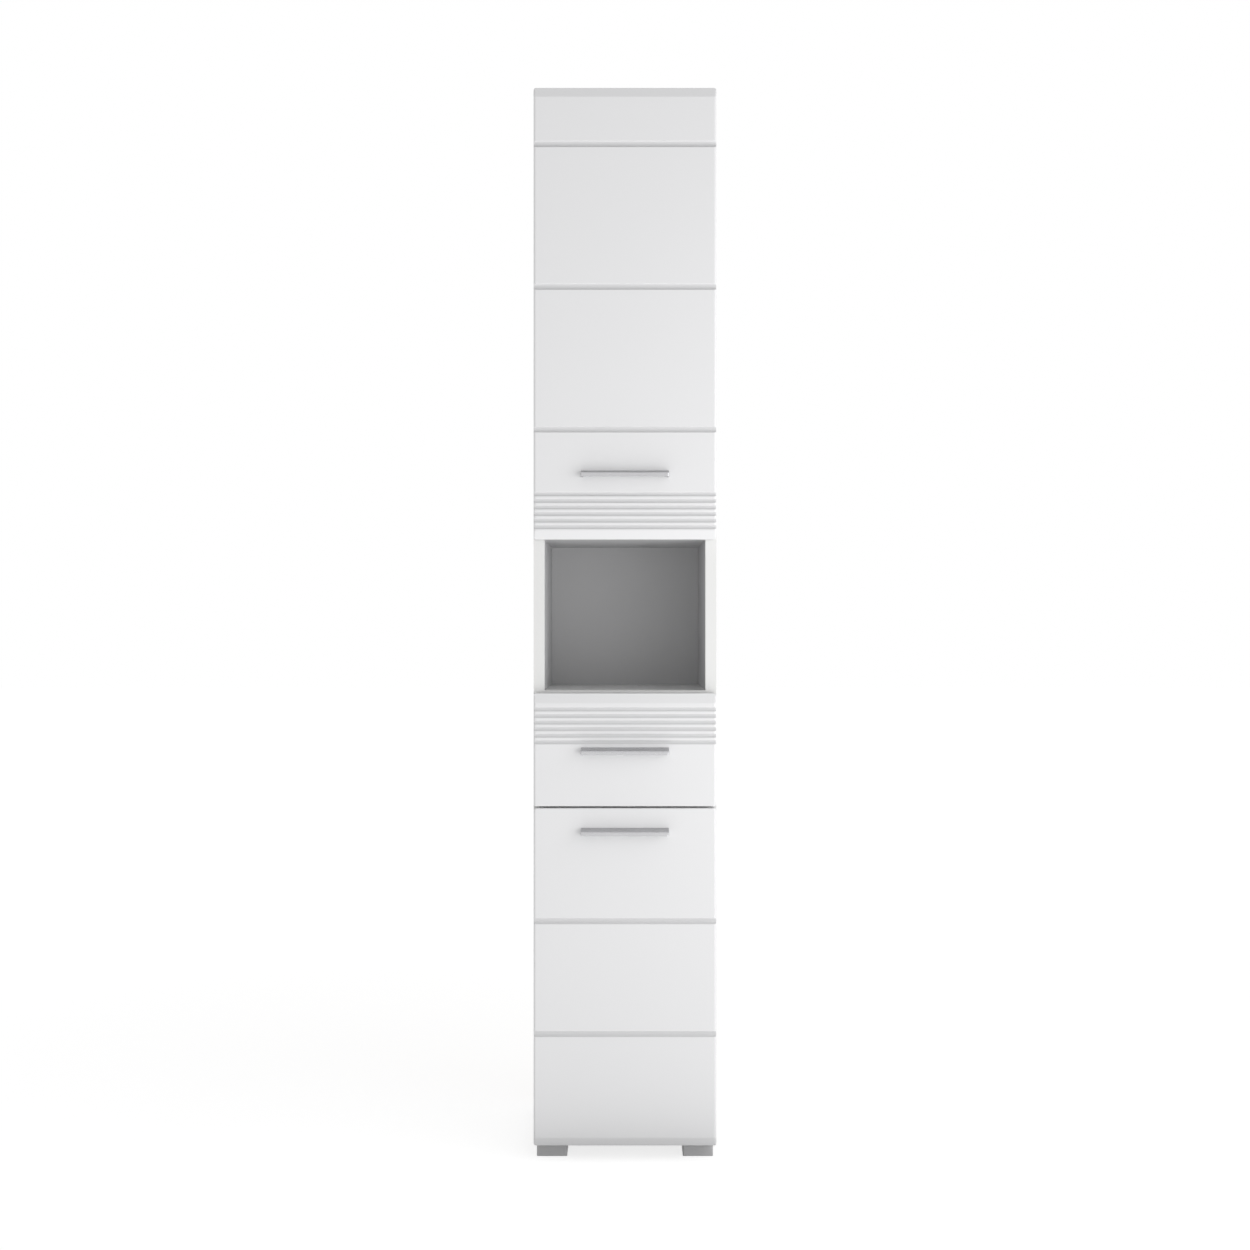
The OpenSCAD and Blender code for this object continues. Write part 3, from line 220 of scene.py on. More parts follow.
NOISE_SPAN = {1: 0.3, 2: 0.7}   # From and to of a Map Range: most of a noise lies between them
ALONG = {1: 0.9, 2: 0.95}       # From and to, and the ends, for faces that look along an axis
AGAINST = {1: -0.95, 2: -0.9, 3: 1, 4: 0}       # The same for faces that look against it
BAND_T = 1 * MM                 # Thickness of the edge band
SEAM = (0.1 * MM, 0.12 * MM)    # The hairline behind the band: how far behind, and half its width


def wire(tree, node, inputs):
    """Gives inputs of a node a value, or a link from a socket or from the working output of a node."""
    for key, value in inputs.items():
        if isinstance(value, bpy.types.Node):
            value = next(socket for socket in value.outputs if socket.enabled)
        if isinstance(value, bpy.types.NodeSocket):
            tree.links.new(value, node.inputs[key])
        else:
            node.inputs[key].default_value = value


def add(tree, kind, inputs=None, **settings):
    """A new node with its settings, its values and its links."""
    node = tree.nodes.new("ShaderNode" + kind)
    for name, value in settings.items():
        setattr(node, name, value)
    wire(tree, node, inputs or {})
    return node


def patches(size):
    """The scale of a noise whose patches are about size metres across."""
    return 0.5 / size


def blank(name):
    """A new material, its tree and the coordinates of its surface."""
    made = bpy.data.materials.new(name)
    made.use_nodes = True
    return made, made.node_tree, add(made.node_tree, "TexCoord").outputs


def finished(made, colour, height, distance, strength, **sockets):
    """The material once its shader has its colour, its bump and its other patterns and values."""
    tree = made.node_tree
    bump = add(tree, "Bump", {"Height": height, "Distance": distance, "Strength": strength})
    others = {name.replace("_", " "): value for name, value in sockets.items()}
    wire(tree, tree.nodes["Principled BSDF"], {"Base Color": colour, "Normal": bump, **others})
    return made


def two_toned(name, base, tones, cloud, grain, relief, rough=None, **sockets):
    """A material in two tones of a colour. cloud mixes the tones, and grain gives a relief of some
    height and strength. Each is the size and the detail of a noise and, where the noise is drawn out,
    its scales along X, Y and Z. rough is the one that the roughness follows, and its two ends."""
    made, tree, place = blank(name)
    noises = dict.fromkeys((cloud, grain))
    for pattern in noises:
        size, detail, *scales = pattern
        at = add(tree, "VectorMath", {0: place["Object"], 1: scales or (1, 1, 1)}, operation="MULTIPLY")
        noises[pattern] = add(tree, "TexNoise", {"Vector": at, "Scale": patches(size), "Detail": detail})
    dark, light = [shaded(paint(base), share) for share in tones]
    colour = add(tree, "Mix", {0: noises[cloud], 6: dark, 7: light}, data_type="RGBA")
    if rough:
        pattern, smooth, dull = rough
        span = {**NOISE_SPAN, 3: smooth, 4: dull}
        sockets["Roughness"] = add(tree, "MapRange", {0: noises[pattern], **span})
    return finished(made, colour, noises[grain], *relief, **sockets)


def foil_on_fibreboard():
    """Gloss foil drawn hot over milled fibreboard: an even white with soft reflections and a faint
    orange peel from the board under it. The peel is really 1 to 2 mm; it is drawn at 5 mm to show.
    In the grooves the foil is painted a greyer colour: painted shade for the shade that falls inside them."""
    made, tree, place = blank("gloss foil on fibreboard")
    at, base = place["Object"], paint("foil")
    mottle, haze, peel = [
        add(tree, "TexNoise", {"Vector": at, "Scale": patches(size), "Detail": detail})
        for size, detail in ((90 * MM, 3), (22 * MM, 2), (5 * MM, 1))]
    mottle = add(tree, "MapRange", {0: mottle, **NOISE_SPAN})
    face = add(tree, "Mix", {0: mottle, 6: shaded(base, 0.996), 7: base}, data_type="RGBA")
    # Painted shade in the grooves: the foil turns to the greyer colour where the points carry this share.
    drawn = add(tree, "Attribute", attribute_name="stretch").outputs["Fac"]
    colour = add(tree, "Mix", {0: drawn, 6: face, 7: paint("groove_shade")}, data_type="RGBA")
    rough = add(tree, "MapRange", {0: haze, **NOISE_SPAN, 3: 0.28, 4: 0.3})
    return finished(made, colour, peel, 0.006 * MM, 0.5, Roughness=rough, Coat_Weight=0.2,
                    Coat_Roughness=0.12)


def raw_fibreboard():
    """Medium-density fibreboard as a drill leaves it: matt brown fluff without grain. Its fibres are
    finer than 1 mm and are drawn at 1.5 mm."""
    fluff = (1.5 * MM, 4)
    return two_toned("raw fibreboard", "fibre", (0.8, 1.15), fluff, fluff, (0.2 * MM, 1), Roughness=0.85)


def chipboard(tree, at):
    """Pressed wood chips, 2 to 6 mm long, and dark specks of bark: a colour and a height."""
    long = add(tree, "VectorMath", {0: at, 1: (0.45, 0.45, 1.0)}, operation="MULTIPLY")
    chips = add(tree, "TexVoronoi", {"Vector": long, "Scale": 0.6 / MM})
    tone = add(tree, "SeparateColor", {0: chips.outputs["Color"]})
    light = paint("chip_light")
    wood = add(tree, "Mix", {0: tone, 6: light, 7: shaded(light, 0.72)}, data_type="RGBA")
    bark = add(tree, "TexNoise", {"Vector": at, "Scale": patches(1.6 * MM), "Detail": 3})
    bark = add(tree, "MapRange", {0: bark, 1: 0.6, 2: 0.68})
    return add(tree, "Mix", {0: bark, 6: wood, 7: paint("chip_dark")}, data_type="RGBA"), tone


def in_niche(tree, spot):
    """1 on what bounds the niche at its sides and its ceiling, from the edge band to the niche's back:
    where the niche's painted shade goes.
    """
    slack = 0.05 * MM           # Takes in the faces themselves
    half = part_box("right_side")[0].x + slack
    floor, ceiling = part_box("niche_floor")[1].z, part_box("niche_ceiling")[0].z + slack
    front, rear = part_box("left_side")[0].y + BAND_T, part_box("niche_back")[1].y
    inside = 1.0
    for axis, (start, end) in enumerate([(-half, half), (front, rear), (floor, ceiling)]):
        within = add(tree, "Math", {0: spot[axis], 1: (start + end) / 2, 2: (end - start) / 2},
                     operation="COMPARE")
        inside = add(tree, "Math", {0: inside, 1: within}, operation="MINIMUM")
    return inside


def melamine_board(name, niche_shaded=False, raw=False):
    """Chipboard faced with melamine paper and pressed against a fine pearl plate: a matt white whose
    0.5 mm grain is drawn at 1.2 mm. The band on the front edges is a shade lighter, with a hairline
    where it meets the face. On the boards that bound the niche, the faces inside it are painted grey:
    painted shade for the dim niche. The rear and lower edges of raw boards, which nobody sees, have no
    band."""
    made, tree, place = blank(name)
    at, base = place["Object"], paint("melamine")
    spot = add(tree, "SeparateXYZ", {0: at}).outputs
    facing = add(tree, "SeparateXYZ", {0: place["Normal"]}).outputs
    mottle, haze, pearl = [
        add(tree, "TexNoise", {"Vector": at, "Scale": patches(size), "Detail": detail})
        for size, detail in ((60 * MM, 3), (30 * MM, 2), (1.2 * MM, 2))]
    mottle = add(tree, "MapRange", {0: mottle, **NOISE_SPAN})
    front = add(tree, "MapRange", {0: facing[1], **AGAINST})
    y_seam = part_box("left_side")[0].y + BAND_T + SEAM[0]
    seam = add(tree, "Math", {0: spot[1], 1: y_seam, 2: SEAM[1]}, operation="COMPARE")
    height, rough = pearl, add(tree, "MapRange", {0: haze, **NOISE_SPAN, 3: 0.38, 4: 0.5})
    layers = [(mottle, base)]
    # Painted shade: the faces inside the niche turn grey for the shade there.
    layers += [(in_niche(tree, spot), paint("niche_shade_grey"))] if niche_shaded else []
    layers += [(front, paint("band")), (seam, shaded(base, 0.86))]
    if raw:
        rear = add(tree, "MapRange", {0: facing[1], **ALONG})
        under = add(tree, "MapRange", {0: facing[2], **AGAINST})
        bare = add(tree, "Math", {0: rear, 1: under}, operation="MAXIMUM")
        chips, chip_height = chipboard(tree, at)
        layers.append((bare, chips))
        rough = add(tree, "Mix", {0: bare, 2: rough, 3: 0.85})
        height = add(tree, "Mix", {0: bare, 2: pearl, 3: chip_height})
    colour = shaded(base, 0.98)
    for share, laid in layers:
        colour = add(tree, "Mix", {0: share, 6: colour, 7: laid}, data_type="RGBA")
    return finished(made, colour, height, 0.04 * MM, 0.6, Roughness=rough)


def lacquered_hardboard(name, front_colour):
    """Thin hardboard, lacquered in front and raw behind: the front is smooth, the rear brown with the
    print of the press screen, a 1.5 mm mesh drawn at 3 mm."""
    made, tree, place = blank(name)
    at, lacquer, brown = place["Object"], paint(front_colour), paint("back_rear")
    spot = add(tree, "SeparateXYZ", {0: at}).outputs
    facing = add(tree, "SeparateXYZ", {0: place["Normal"]}).outputs
    rear = add(tree, "MapRange", {0: facing[1], 1: 0.4, 2: 0.6})
    mottle = add(tree, "TexNoise", {"Vector": at, "Scale": patches(50 * MM), "Detail": 3})
    white = add(tree, "Mix", {0: mottle, 6: shaded(lacquer, 0.97), 7: lacquer}, data_type="RGBA")
    along = add(tree, "VectorMath", {0: at, 1: (0.3, 1, 1)}, operation="MULTIPLY")
    fibres = add(tree, "TexNoise", {"Vector": along, "Scale": patches(1.5 * MM), "Detail": 5})
    fibres = add(tree, "MapRange", {0: fibres, **NOISE_SPAN})
    bare = add(tree, "Mix", {0: fibres, 6: shaded(brown, 0.78), 7: shaded(brown, 1.15)}, data_type="RGBA")
    colour = add(tree, "Mix", {0: rear, 6: white, 7: bare}, data_type="RGBA")
    rough = add(tree, "Mix", {0: rear, 2: 0.42, 3: 0.8})
    screen = 1.0
    for axis in (0, 2):
        wave = add(tree, "Math", {0: spot[axis], 1: 2 * math.pi / (3 * MM)}, operation="MULTIPLY")
        wave = add(tree, "Math", {0: wave}, operation="SINE")
        screen = add(tree, "Math", {0: screen, 1: wave}, operation="MULTIPLY")
    peel = add(tree, "TexNoise", {"Vector": at, "Scale": patches(4 * MM), "Detail": 1})
    height = add(tree, "Mix", {0: rear, 2: peel, 3: screen})
    return finished(made, colour, height, 0.06 * MM, 0.7, Roughness=rough)


def satin_metal():
    """Die-cast pull, ground lengthwise, plated and satin lacquered: pale grey metal whose fine scratches
    spread its highlights and swallow light that comes at a slant, so its top looks darker than its lip.
    The 0.1 mm scratches are drawn at 0.6 mm."""
    scratches = (0.6 * MM, 3, 0.02, 1, 1)
    return two_toned("satin metal", "handle", (0.95, 1.03), (12 * MM, 2), scratches, (0.01 * MM, 0.4),
                     (scratches, 0.22, 0.34), Metallic=1.0, Coat_Weight=0.1, Coat_Roughness=0.3,
                     Specular_Tint=(0.7, 0.7, 0.7, 1.0))


def moulded_polypropylene():
    """Polypropylene with silver pigment, moulded in a spark-eroded tool: even matt grey with a fine
    pebbled grain, really 0.3 mm and drawn at 0.9 mm, and faint flow clouds."""
    pebbles = (0.9 * MM, 3)
    return two_toned("moulded polypropylene", "foot", (0.93, 1.04), (14 * MM, 3, 1, 1, 0.4), pebbles,
                     (0.05 * MM, 0.7), (pebbles, 0.42, 0.56), IOR=1.49)


def nickel_plated_steel():
    """Pressed steel with bright nickel: warm grey mirror with rolling marks 0.5 mm wide and light
    handling haze."""
    haze = (6 * MM, 4)
    return two_toned("nickel-plated steel", "nickel", (0.88, 1.04), haze, (0.5 * MM, 2, 1, 1, 0.1),
                     (0.01 * MM, 0.4), (haze, 0.2, 0.36), Metallic=1.0)


def cast_zinc():
    """Zinc alloy as it comes from the die: dull blue-grey metal, cloudy and slightly pitted."""
    cloud = (3 * MM, 4)
    return two_toned("die-cast zinc", "zinc", (0.8, 1.08), cloud, (0.6 * MM, 3), (0.04 * MM, 0.6),
                     (cloud, 0.4, 0.6), Metallic=1.0)


def powder_coat():
    """White polyester powder baked on rolled steel: half gloss with an orange peel about 1 mm wide."""
    peel = (1.2 * MM, 2)
    return two_toned("powder-coated steel", "rail", (0.97, 1), (25 * MM, 2), peel, (0.03 * MM, 0.6),
                     (peel, 0.3, 0.38), Coat_Weight=0.15, Coat_Roughness=0.15)


def natural_nylon():
    """Unpigmented nylon, moulded: waxy ivory that lets a little light in, with turning marks on the
    running face."""
    marks = (0.4 * MM, 2, 1, 0.1, 0.1)
    return two_toned("natural nylon", "nylon", (0.94, 1), (3 * MM, 3), marks, (0.02 * MM, 0.5),
                     (marks, 0.35, 0.5), IOR=1.53, Subsurface_Weight=0.15, Subsurface_Scale=1 * MM)


def clear_bumper():
    """Soft clear polyurethane, cast in drops: glassy, with a faint haze of dust."""
    dust = (1.5 * MM, 3)
    return two_toned("clear polyurethane", "bumper", (0.95, 1), dust, dust, (0.02 * MM, 0.4),
                     (dust, 0.12, 0.3), IOR=1.5, Transmission_Weight=0.75)


def bare_beech():
    """Beech turned along the grain: warm tan with 3 mm growth bands and short brown flecks."""
    made, tree, place = blank("bare beech")
    base, noises = paint("beech"), []
    for size, detail, along in ((1.5 * MM, 3, 0.08), (0.5 * MM, 2, 0.25)):
        at = add(tree, "VectorMath", {0: place["Object"], 1: (along, 1, 1)}, operation="MULTIPLY")
        noises.append(add(tree, "TexNoise", {"Vector": at, "Scale": patches(size), "Detail": detail}))
    bands, flecks = noises
    flecks = add(tree, "MapRange", {0: flecks, 1: 0.62, 2: 0.68})
    wood = add(tree, "Mix", {0: bands, 6: shaded(base, 0.86), 7: shaded(base, 1.08)}, data_type="RGBA")
    colour = add(tree, "Mix", {0: flecks, 6: wood, 7: shaded(base, 0.55)}, data_type="RGBA")
    return finished(made, colour, bands, 0.05 * MM, 0.5, Roughness=0.65)


# Pieces

def creased(data):
    """Shades a mesh smooth between its sharp edges."""
    data.shade_smooth()
    data.set_sharp_from_angle(angle=CREASE)


def shown(name, mesh, *materials):
    """A new object in the scene from a bmesh."""
    data = bpy.data.meshes.new(name)
    mesh.to_mesh(data)
    mesh.free()
    for made in materials:
        data.materials.append(made)
    creased(data)
    piece = bpy.data.objects.new(name, data)
    bpy.context.scene.collection.objects.link(piece)
    return piece


def settled(piece):
    """Makes a piece's modifiers part of its mesh."""
    graph = bpy.context.evaluated_depsgraph_get()
    data = bpy.data.meshes.new_from_object(piece.evaluated_get(graph))
    piece.modifiers.clear()
    piece.data = data
    creased(data)


def carved(piece, cutters, operation="DIFFERENCE"):
    """Takes the cutters out of a piece, or joins them to it; the cutters go."""
    for cutter in cutters:
        step = piece.modifiers.new("cut", "BOOLEAN")
        step.operation, step.solver, step.object = operation, "EXACT", cutter
        step.material_mode = "TRANSFER"
    settled(piece)
    for cutter in cutters:
        bpy.data.objects.remove(cutter)
    return piece


def rounded(piece, width, segments):
    """Softens a piece's sharp edges."""
    edge = piece.modifiers.new("soft edges", "BEVEL")
    edge.width, edge.segments, edge.limit_method, edge.angle_limit = width, segments, "ANGLE", CORNER


def evened(piece, keep_sharp=True):
    """Shades a piece by its large faces, so that flat faces look flat beside their soft edges."""
    piece.modifiers.new("even shading", "WEIGHTED_NORMAL").keep_sharp = keep_sharp


def stands_for(piece, node):
    """A finished piece takes a node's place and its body."""
    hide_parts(node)
    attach(piece, BODY_OF[node])


def softened(nodes, made, width, segments=2):
    """Gives CAD nodes their finish and soft edges by modifiers; their own meshes stay as packed."""
    for node in nodes:
        piece = NODES[node]
        for slot in piece.material_slots:
            slot.material = made
        piece.modifiers.new("weld", "WELD").merge_threshold = WELD
        flat = piece.modifiers.new("flat faces", "DECIMATE")
        flat.decimate_type, flat.angle_limit = "DISSOLVE", LEVEL
        rounded(piece, width, segments)
        evened(piece, keep_sharp=False)


def pointing(along):
    """The turn that brings Z to a direction."""
    return along.to_track_quat("Z", "Y").to_matrix().to_4x4()


def rod(start, end, radius, made, segments):
    """A round bar between two points, used as a cutter or a boss."""
    start, end = Vector(start), Vector(end)
    mesh = bmesh.new()
    bmesh.ops.create_cone(mesh, cap_ends=True, segments=segments, radius1=radius, radius2=radius,
                          depth=(end - start).length,
                          matrix=Matrix.Translation((start + end) / 2) @ pointing(end - start))
    return shown("cutter", mesh, made)


def closed(mesh, loops):
    """Joins loops of points into a skin and closes its two ends."""
    for one, other in zip(loops, loops[1:]):
        for i in range(len(one)):
            mesh.faces.new((one[i - 1], one[i], other[i], other[i - 1]))
    mesh.faces.new(loops[0])
    mesh.faces.new(loops[-1])
    bmesh.ops.recalc_face_normals(mesh, faces=mesh.faces)
    return mesh


def steps(start, end, step):
    """Values from start to end, evenly spaced by about step."""
    count = max(1, round(abs(end - start) / step))
    return [start + (end - start) * i / count for i in range(count + 1)]


def solids(node):
    """The separate solids of a node, each as a list of its points."""
    mesh = bmesh.new()
    mesh.from_mesh(NODES[node].data)
    bmesh.ops.remove_doubles(mesh, verts=mesh.verts, dist=WELD)
    seen, found = set(), []
    for first in mesh.verts:
        island, waiting = [], [first]
        while waiting:
            vert = waiting.pop()
            if vert not in seen:
                seen.add(vert)
                island.append(vert.co.copy())
                waiting += [edge.other_vert(vert) for edge in vert.link_edges]
        found += [island] if island else []
    mesh.free()
    return found


def extents(points):
    """The lowest and highest corner of some points."""
    axes = list(zip(*points))
    return Vector([min(values) for values in axes]), Vector([max(values) for values in axes])


def fasteners(node):
    """Each screw, bolt or dowel of a node: the middle of its head's end, its tip, direction and sizes."""
    found = []
    for points in solids(node):
        low, high = extents(points)
        axis = max(range(3), key=lambda i: high[i] - low[i])
        middle = (low + high) / 2
        radii = {}
        for point in points:
            off = point - middle
            off[axis] = 0
            level = round(point[axis], 5)
            radii[level] = max(radii.get(level, 0), off.length)
        levels = sorted(radii, reverse=radii[max(radii)] > radii[min(radii)])
        head = middle.copy()
        head[axis] = levels[0]
        along = Vector((0, 0, 0))
        along[axis] = 1 if levels[-1] > levels[0] else -1
        length = abs(levels[-1] - levels[0])
        found.append({"head": head, "along": along, "length": length, "tip": head + along * length,
                      "head_h": abs(levels[1] - levels[0]), "head_r": radii[levels[0]],
                      "end_r": radii[levels[-1]]})
    return found


# Fronts

def fillet(t, r):
    """How far a quarter round of radius r has gone in at a distance t from its start."""
    return r - math.sqrt(max(0.0, r * r - (r - t) ** 2)) if t < r else 0.0


class Groove:
    """A round-bottomed groove with soft lips, across a front at one height."""

    def __init__(self, z, width, depth, lip):
        self.z, self.depth, self.lip = z, depth, lip
        self.r = (width * width / 4 + depth * depth) / (2 * depth)
        self.half = math.sqrt((self.r + lip) ** 2 - (lip + self.r - depth) ** 2)
        self.turn = self.half * self.r / (self.r + lip)
        self.angle = math.asin(self.turn / self.r)

    def cut(self, z):
        """Depth of the groove at a height."""
        off = abs(z - self.z)
        if off >= self.half:
            return 0.0
        if off > self.turn:
            return self.lip - math.sqrt(max(0.0, self.lip ** 2 - (self.half - off) ** 2))
        return self.depth - self.r + math.sqrt(self.r ** 2 - off ** 2)

    def heights(self):
        """Heights that follow the groove's curves closely."""
        offs = [self.r * math.sin(a) for a in steps(0, self.angle, 0.13)]
        offs += [self.half - self.lip * math.sin(a) for a in steps(self.angle, 0, 0.22)]
        return [self.z + side * off for off in offs for side in (-1, 1)]


class Profile:
    """What is milled into a front: grooves, and at its bottom and its top a wide chamfer, which is a
    height and a depth, or None."""
    nearest = 0.04 * MM     # Sections closer than this are one
    farthest = 40 * MM      # A gap wider than this gets three sections more
    columns = 30 * MM       # Spacing of the points across the face
    blend = 8               # How tightly the rounding of the edges runs into the face
    drawn = 0.7             # Share of a groove's depth at which its painted shade is full

    def __init__(self, node, bottom, top, grooves):
        self.sizes = bpy.context.scene.cabinet_fronts
        self.low, self.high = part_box(node)
        self.height = self.high.z - self.low.z
        self.bottom, self.top, self.grooves = bottom, top, grooves

    def depth(self, z):
        """Depth of the face in the middle of the front at a height."""
        soft, deep = self.sizes.chamfer_soft, 0.0
        for t, wide in ((z, self.bottom), (self.height - z, self.top)):
            if wide:
                into, steep = wide[0] - t, wide[1] / wide[0]
                if into > soft:
                    deep += steep * into
                elif into > -soft:
                    deep += steep * (into + soft) ** 2 / (4 * soft)
            deep += fillet(t, self.sizes.end_r if wide else self.sizes.straight_r)
        return deep + sum(groove.cut(z) for groove in self.grooves)

    def stretch(self, z):
        """How much painted shade the grooves give the foil at a height, from 0 to 1."""
        return sum(min(1.0, groove.cut(z) / (self.drawn * groove.depth)) for groove in self.grooves)

    def levels(self):
        """Heights of the plan sections, close together where the profile turns."""
        sizes, height, soft = self.sizes, self.height, self.sizes.chamfer_soft
        kept = (sizes.rear_bevel, height - sizes.rear_bevel, height)
        heights = [0, *kept]
        for end_r in (sizes.edge_r, sizes.end_r, sizes.straight_r):
            for a in steps(0, QUARTER, QUARTER / 10):
                heights += [end_r * (1 - math.sin(a)), height - end_r * (1 - math.sin(a))]
        for into in (-soft, -soft / 2, 0, soft / 2, soft):
            heights += [self.bottom[0] - into] if self.bottom else []
            heights += [height - self.top[0] + into] if self.top else []
        for groove in self.grooves:
            heights += groove.heights()
        levels = []
        for z in sorted(heights):
            near = bool(levels) and z - levels[-1] <= self.nearest
            if near and z not in kept:
                continue
            if near:
                levels.pop()
            gap = z - levels[-1] if levels else 0
            levels += [z - gap + gap * i / 4 for i in (1, 2, 3)] if gap > self.farthest else []
            levels.append(z)
        return levels

    def skin(self):
        """The closed skin of the front: plan sections from bottom to top, joined into one mesh."""
        edge_r, bevel = self.sizes.edge_r, self.sizes.rear_bevel
        middle, half_w = (self.low.x + self.high.x) / 2, (self.high.x - self.low.x) / 2
        levels = self.levels()
        inner = [edge_r * (1 - math.sin(a)) for a in steps(QUARTER, 0, QUARTER / 10)]
        mesh = bmesh.new()
        # Painted shade of the grooves, carried by the points of the face into the foil's colour.
        stretch = mesh.verts.layers.float.new("stretch")
        loops = []
        for z in levels:
            t = min(z, self.height - z)
            half, deep = half_w - fillet(t, edge_r), self.depth(z)
            across = [(-half + e, e) for e in inner]
            across += [(x, edge_r) for x in steps(-half + edge_r, half - edge_r, self.columns)[1:-1]]
            across += [(half - e, e) for e in reversed(inner)]
            points = [(x, (fillet(e, edge_r) ** self.blend + deep ** self.blend) ** (1 / self.blend))
                      for x, e in across]
            back = self.high.y - self.low.y - max(0.0, bevel - t)
            points += [(half, back - bevel), (half - bevel, back)]
            points += [(bevel - half, back), (-half, back - bevel)]
            loops.append([mesh.verts.new((middle + x, self.low.y + y, self.low.z + z)) for x, y in points])
            for vert in loops[-1][:len(across)]:
                vert[stretch] = self.stretch(z)
        count = len(loops[0])
        rear = count - 3
        slip = WELD / 10        # The heights are only as exact as this
        flat = [bevel - slip <= z <= self.height - bevel + slip for z in levels]
        for j, (lower, upper) in enumerate(zip(loops, loops[1:])):
            for i in range(count):
                after = (i + 1) % count
                if i != rear or not (flat[j] and flat[j + 1]):
                    mesh.faces.new((lower[i], lower[after], upper[after], upper[i]))
        inside = [loop for loop, is_flat in zip(loops, flat) if is_flat]
        mesh.faces.new([loop[rear] for loop in inside] + [loop[rear + 1] for loop in reversed(inside)])
        mesh.faces.new(loops[0])
        mesh.faces.new(loops[-1])
        bmesh.ops.recalc_face_normals(mesh, faces=mesh.faces)
        for face in mesh.faces:
            face.material_index = int(face.normal.y > 0.99)     # The rear face has the second finish
        return mesh


def front_bores(node, bare):
    """Cutters for what is drilled and milled into the rear of a front."""
    (_, y_face, _), (_, y_rear, _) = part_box(node)
    past, name, cutters = y_rear + OVER, node.split("_")[0], []
    flange = 10 * MM            # Deeper than this a cup is round
    if name != "drawer":
        for points in solids(name + "_hinge_cups"):
            cup_low, cup_high = extents(points)
            z = (cup_low.z + cup_high.z) / 2
            left, right = extents([p for p in points if p.y < y_rear - flange])
            x, radius = (left.x + right.x) / 2, (right.x - left.x) / 2
            cutters.append(rod((x, cup_low.y, z), (x, past, z), radius + PLAY, bare, 96))
    for place in fasteners("drawer_cam_bolts" if name == "drawer" else name + "_cup_screws"):
        x, y, z = place["tip"]
        cutters.append(rod((x, y, z), (x, past, z), place["end_r"] + PLAY, bare, 24))
    if name == "drawer":
        slack, above = 0.5 * MM, 0.2 * MM       # Room of the drawer's bottom in its groove
        low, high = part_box("drawer_bottom")
        low, high = low - Vector((slack, slack, 0)), Vector((high.x + slack, past, high.z + above))
        mesh = bmesh.new()
        bmesh.ops.create_cube(mesh, size=1, matrix=Matrix.Translation((low + high) / 2)
                              @ Matrix.Diagonal((*(high - low), 1)))
        cutters.append(shown("cutter", mesh, bare))
    for place in fasteners(name + "_handle_screws"):
        x, _, z = place["head"]
        cutters.append(rod((x, y_face - OVER, z), (x, past, z), place["end_r"] + PLAY, bare, 32))
    return cutters


def front_panel(node, profile, foil, rear, bare):
    """A door or drawer front with its foil, its rear face and its bare bores."""
    piece = shown(node + "_profiled", Profile(node, *profile).skin(), foil, rear)
    carved(piece, front_bores(node, bare))
    evened(piece)
    stands_for(piece, node)


class CABINET_OT_fronts(bpy.types.Operator):
    """Builds the two doors and the drawer front with their profiles and bores"""
    bl_idname = "cabinet.fronts"
    bl_label = "Fronts"

    def execute(self, context):
        sizes = context.scene.cabinet_fronts
        foil, bare = foil_on_fibreboard(), raw_fibreboard()
        rear = melamine_board("white rear of the fronts")

        def groove(z):
            return Groove(z, sizes.groove_w, sizes.groove_cut, sizes.lip_r)

        def rib(z):
            return Groove(z, sizes.rib_w, sizes.rib_cut, sizes.lip_r)

        def tall(node):
            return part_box(node)[1].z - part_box(node)[0].z

        top_wide = (sizes.top_chamfer_h, sizes.top_chamfer_d)
        low_wide = (sizes.low_chamfer_h, sizes.low_chamfer_d)
        first = tall("upper_door_panel") - sizes.upper_groove_down
        upper = [groove(first - i * sizes.upper_groove_pitch) for i in range(3)]
        upper += [rib(sizes.upper_rib_up + i * sizes.rib_pitch) for i in range(6)]
        lower = [groove(tall("lower_door_panel") - i * sizes.lower_groove_pitch) for i in (1, 2)]
        first = tall("drawer_front") - sizes.drawer_rib_down
        ribs = [rib(first - i * sizes.rib_pitch) for i in range(6)]
        front_panel("upper_door_panel", (low_wide, top_wide, upper), foil, rear, bare)
        front_panel("lower_door_panel", (low_wide, None, lower), foil, rear, bare)
        front_panel("drawer_front", (None, top_wide, ribs), foil, rear, bare)
        return {"FINISHED"}


# Handles

def hood_outline(back, low, top, depth, nose_r, slope):
    """Side view of a pull as points of y and z: a sloping top, a round nose and an upright lip."""
    nose_y = nose_r - depth
    nose_z = top + nose_y * math.tan(slope) - nose_r / math.cos(slope)
    points = [(back, low), (back, top + back * math.tan(slope))]
    points += [(nose_y - nose_r * math.sin(a), nose_z + nose_r * math.cos(a))
               for a in steps(slope, QUARTER, QUARTER / 12)]
    return points + [(-depth, low)]


def hood_plan(left, right, depth, end_r):
    """A pull seen from above as points of x and y: round at its two front corners."""
    turns = steps(0, QUARTER, QUARTER / 10)
    y = end_r - depth
    points = [(left, OVER), (right, OVER)]
    points += [(right - end_r + end_r * math.cos(a), y - end_r * math.sin(a)) for a in turns]
    return points + [(left + end_r - end_r * math.sin(a), y - end_r * math.cos(a)) for a in turns]


def prism(outline, start, end, made, upright=False):
    """Points of y and z drawn out along X, or upright along Z from points of x and y."""
    mesh = bmesh.new()
    ends = [[mesh.verts.new((u, v, w) if upright else (w, u, v)) for u, v in outline]
            for w in (start, end)]
    return shown("prism", closed(mesh, ends), made)


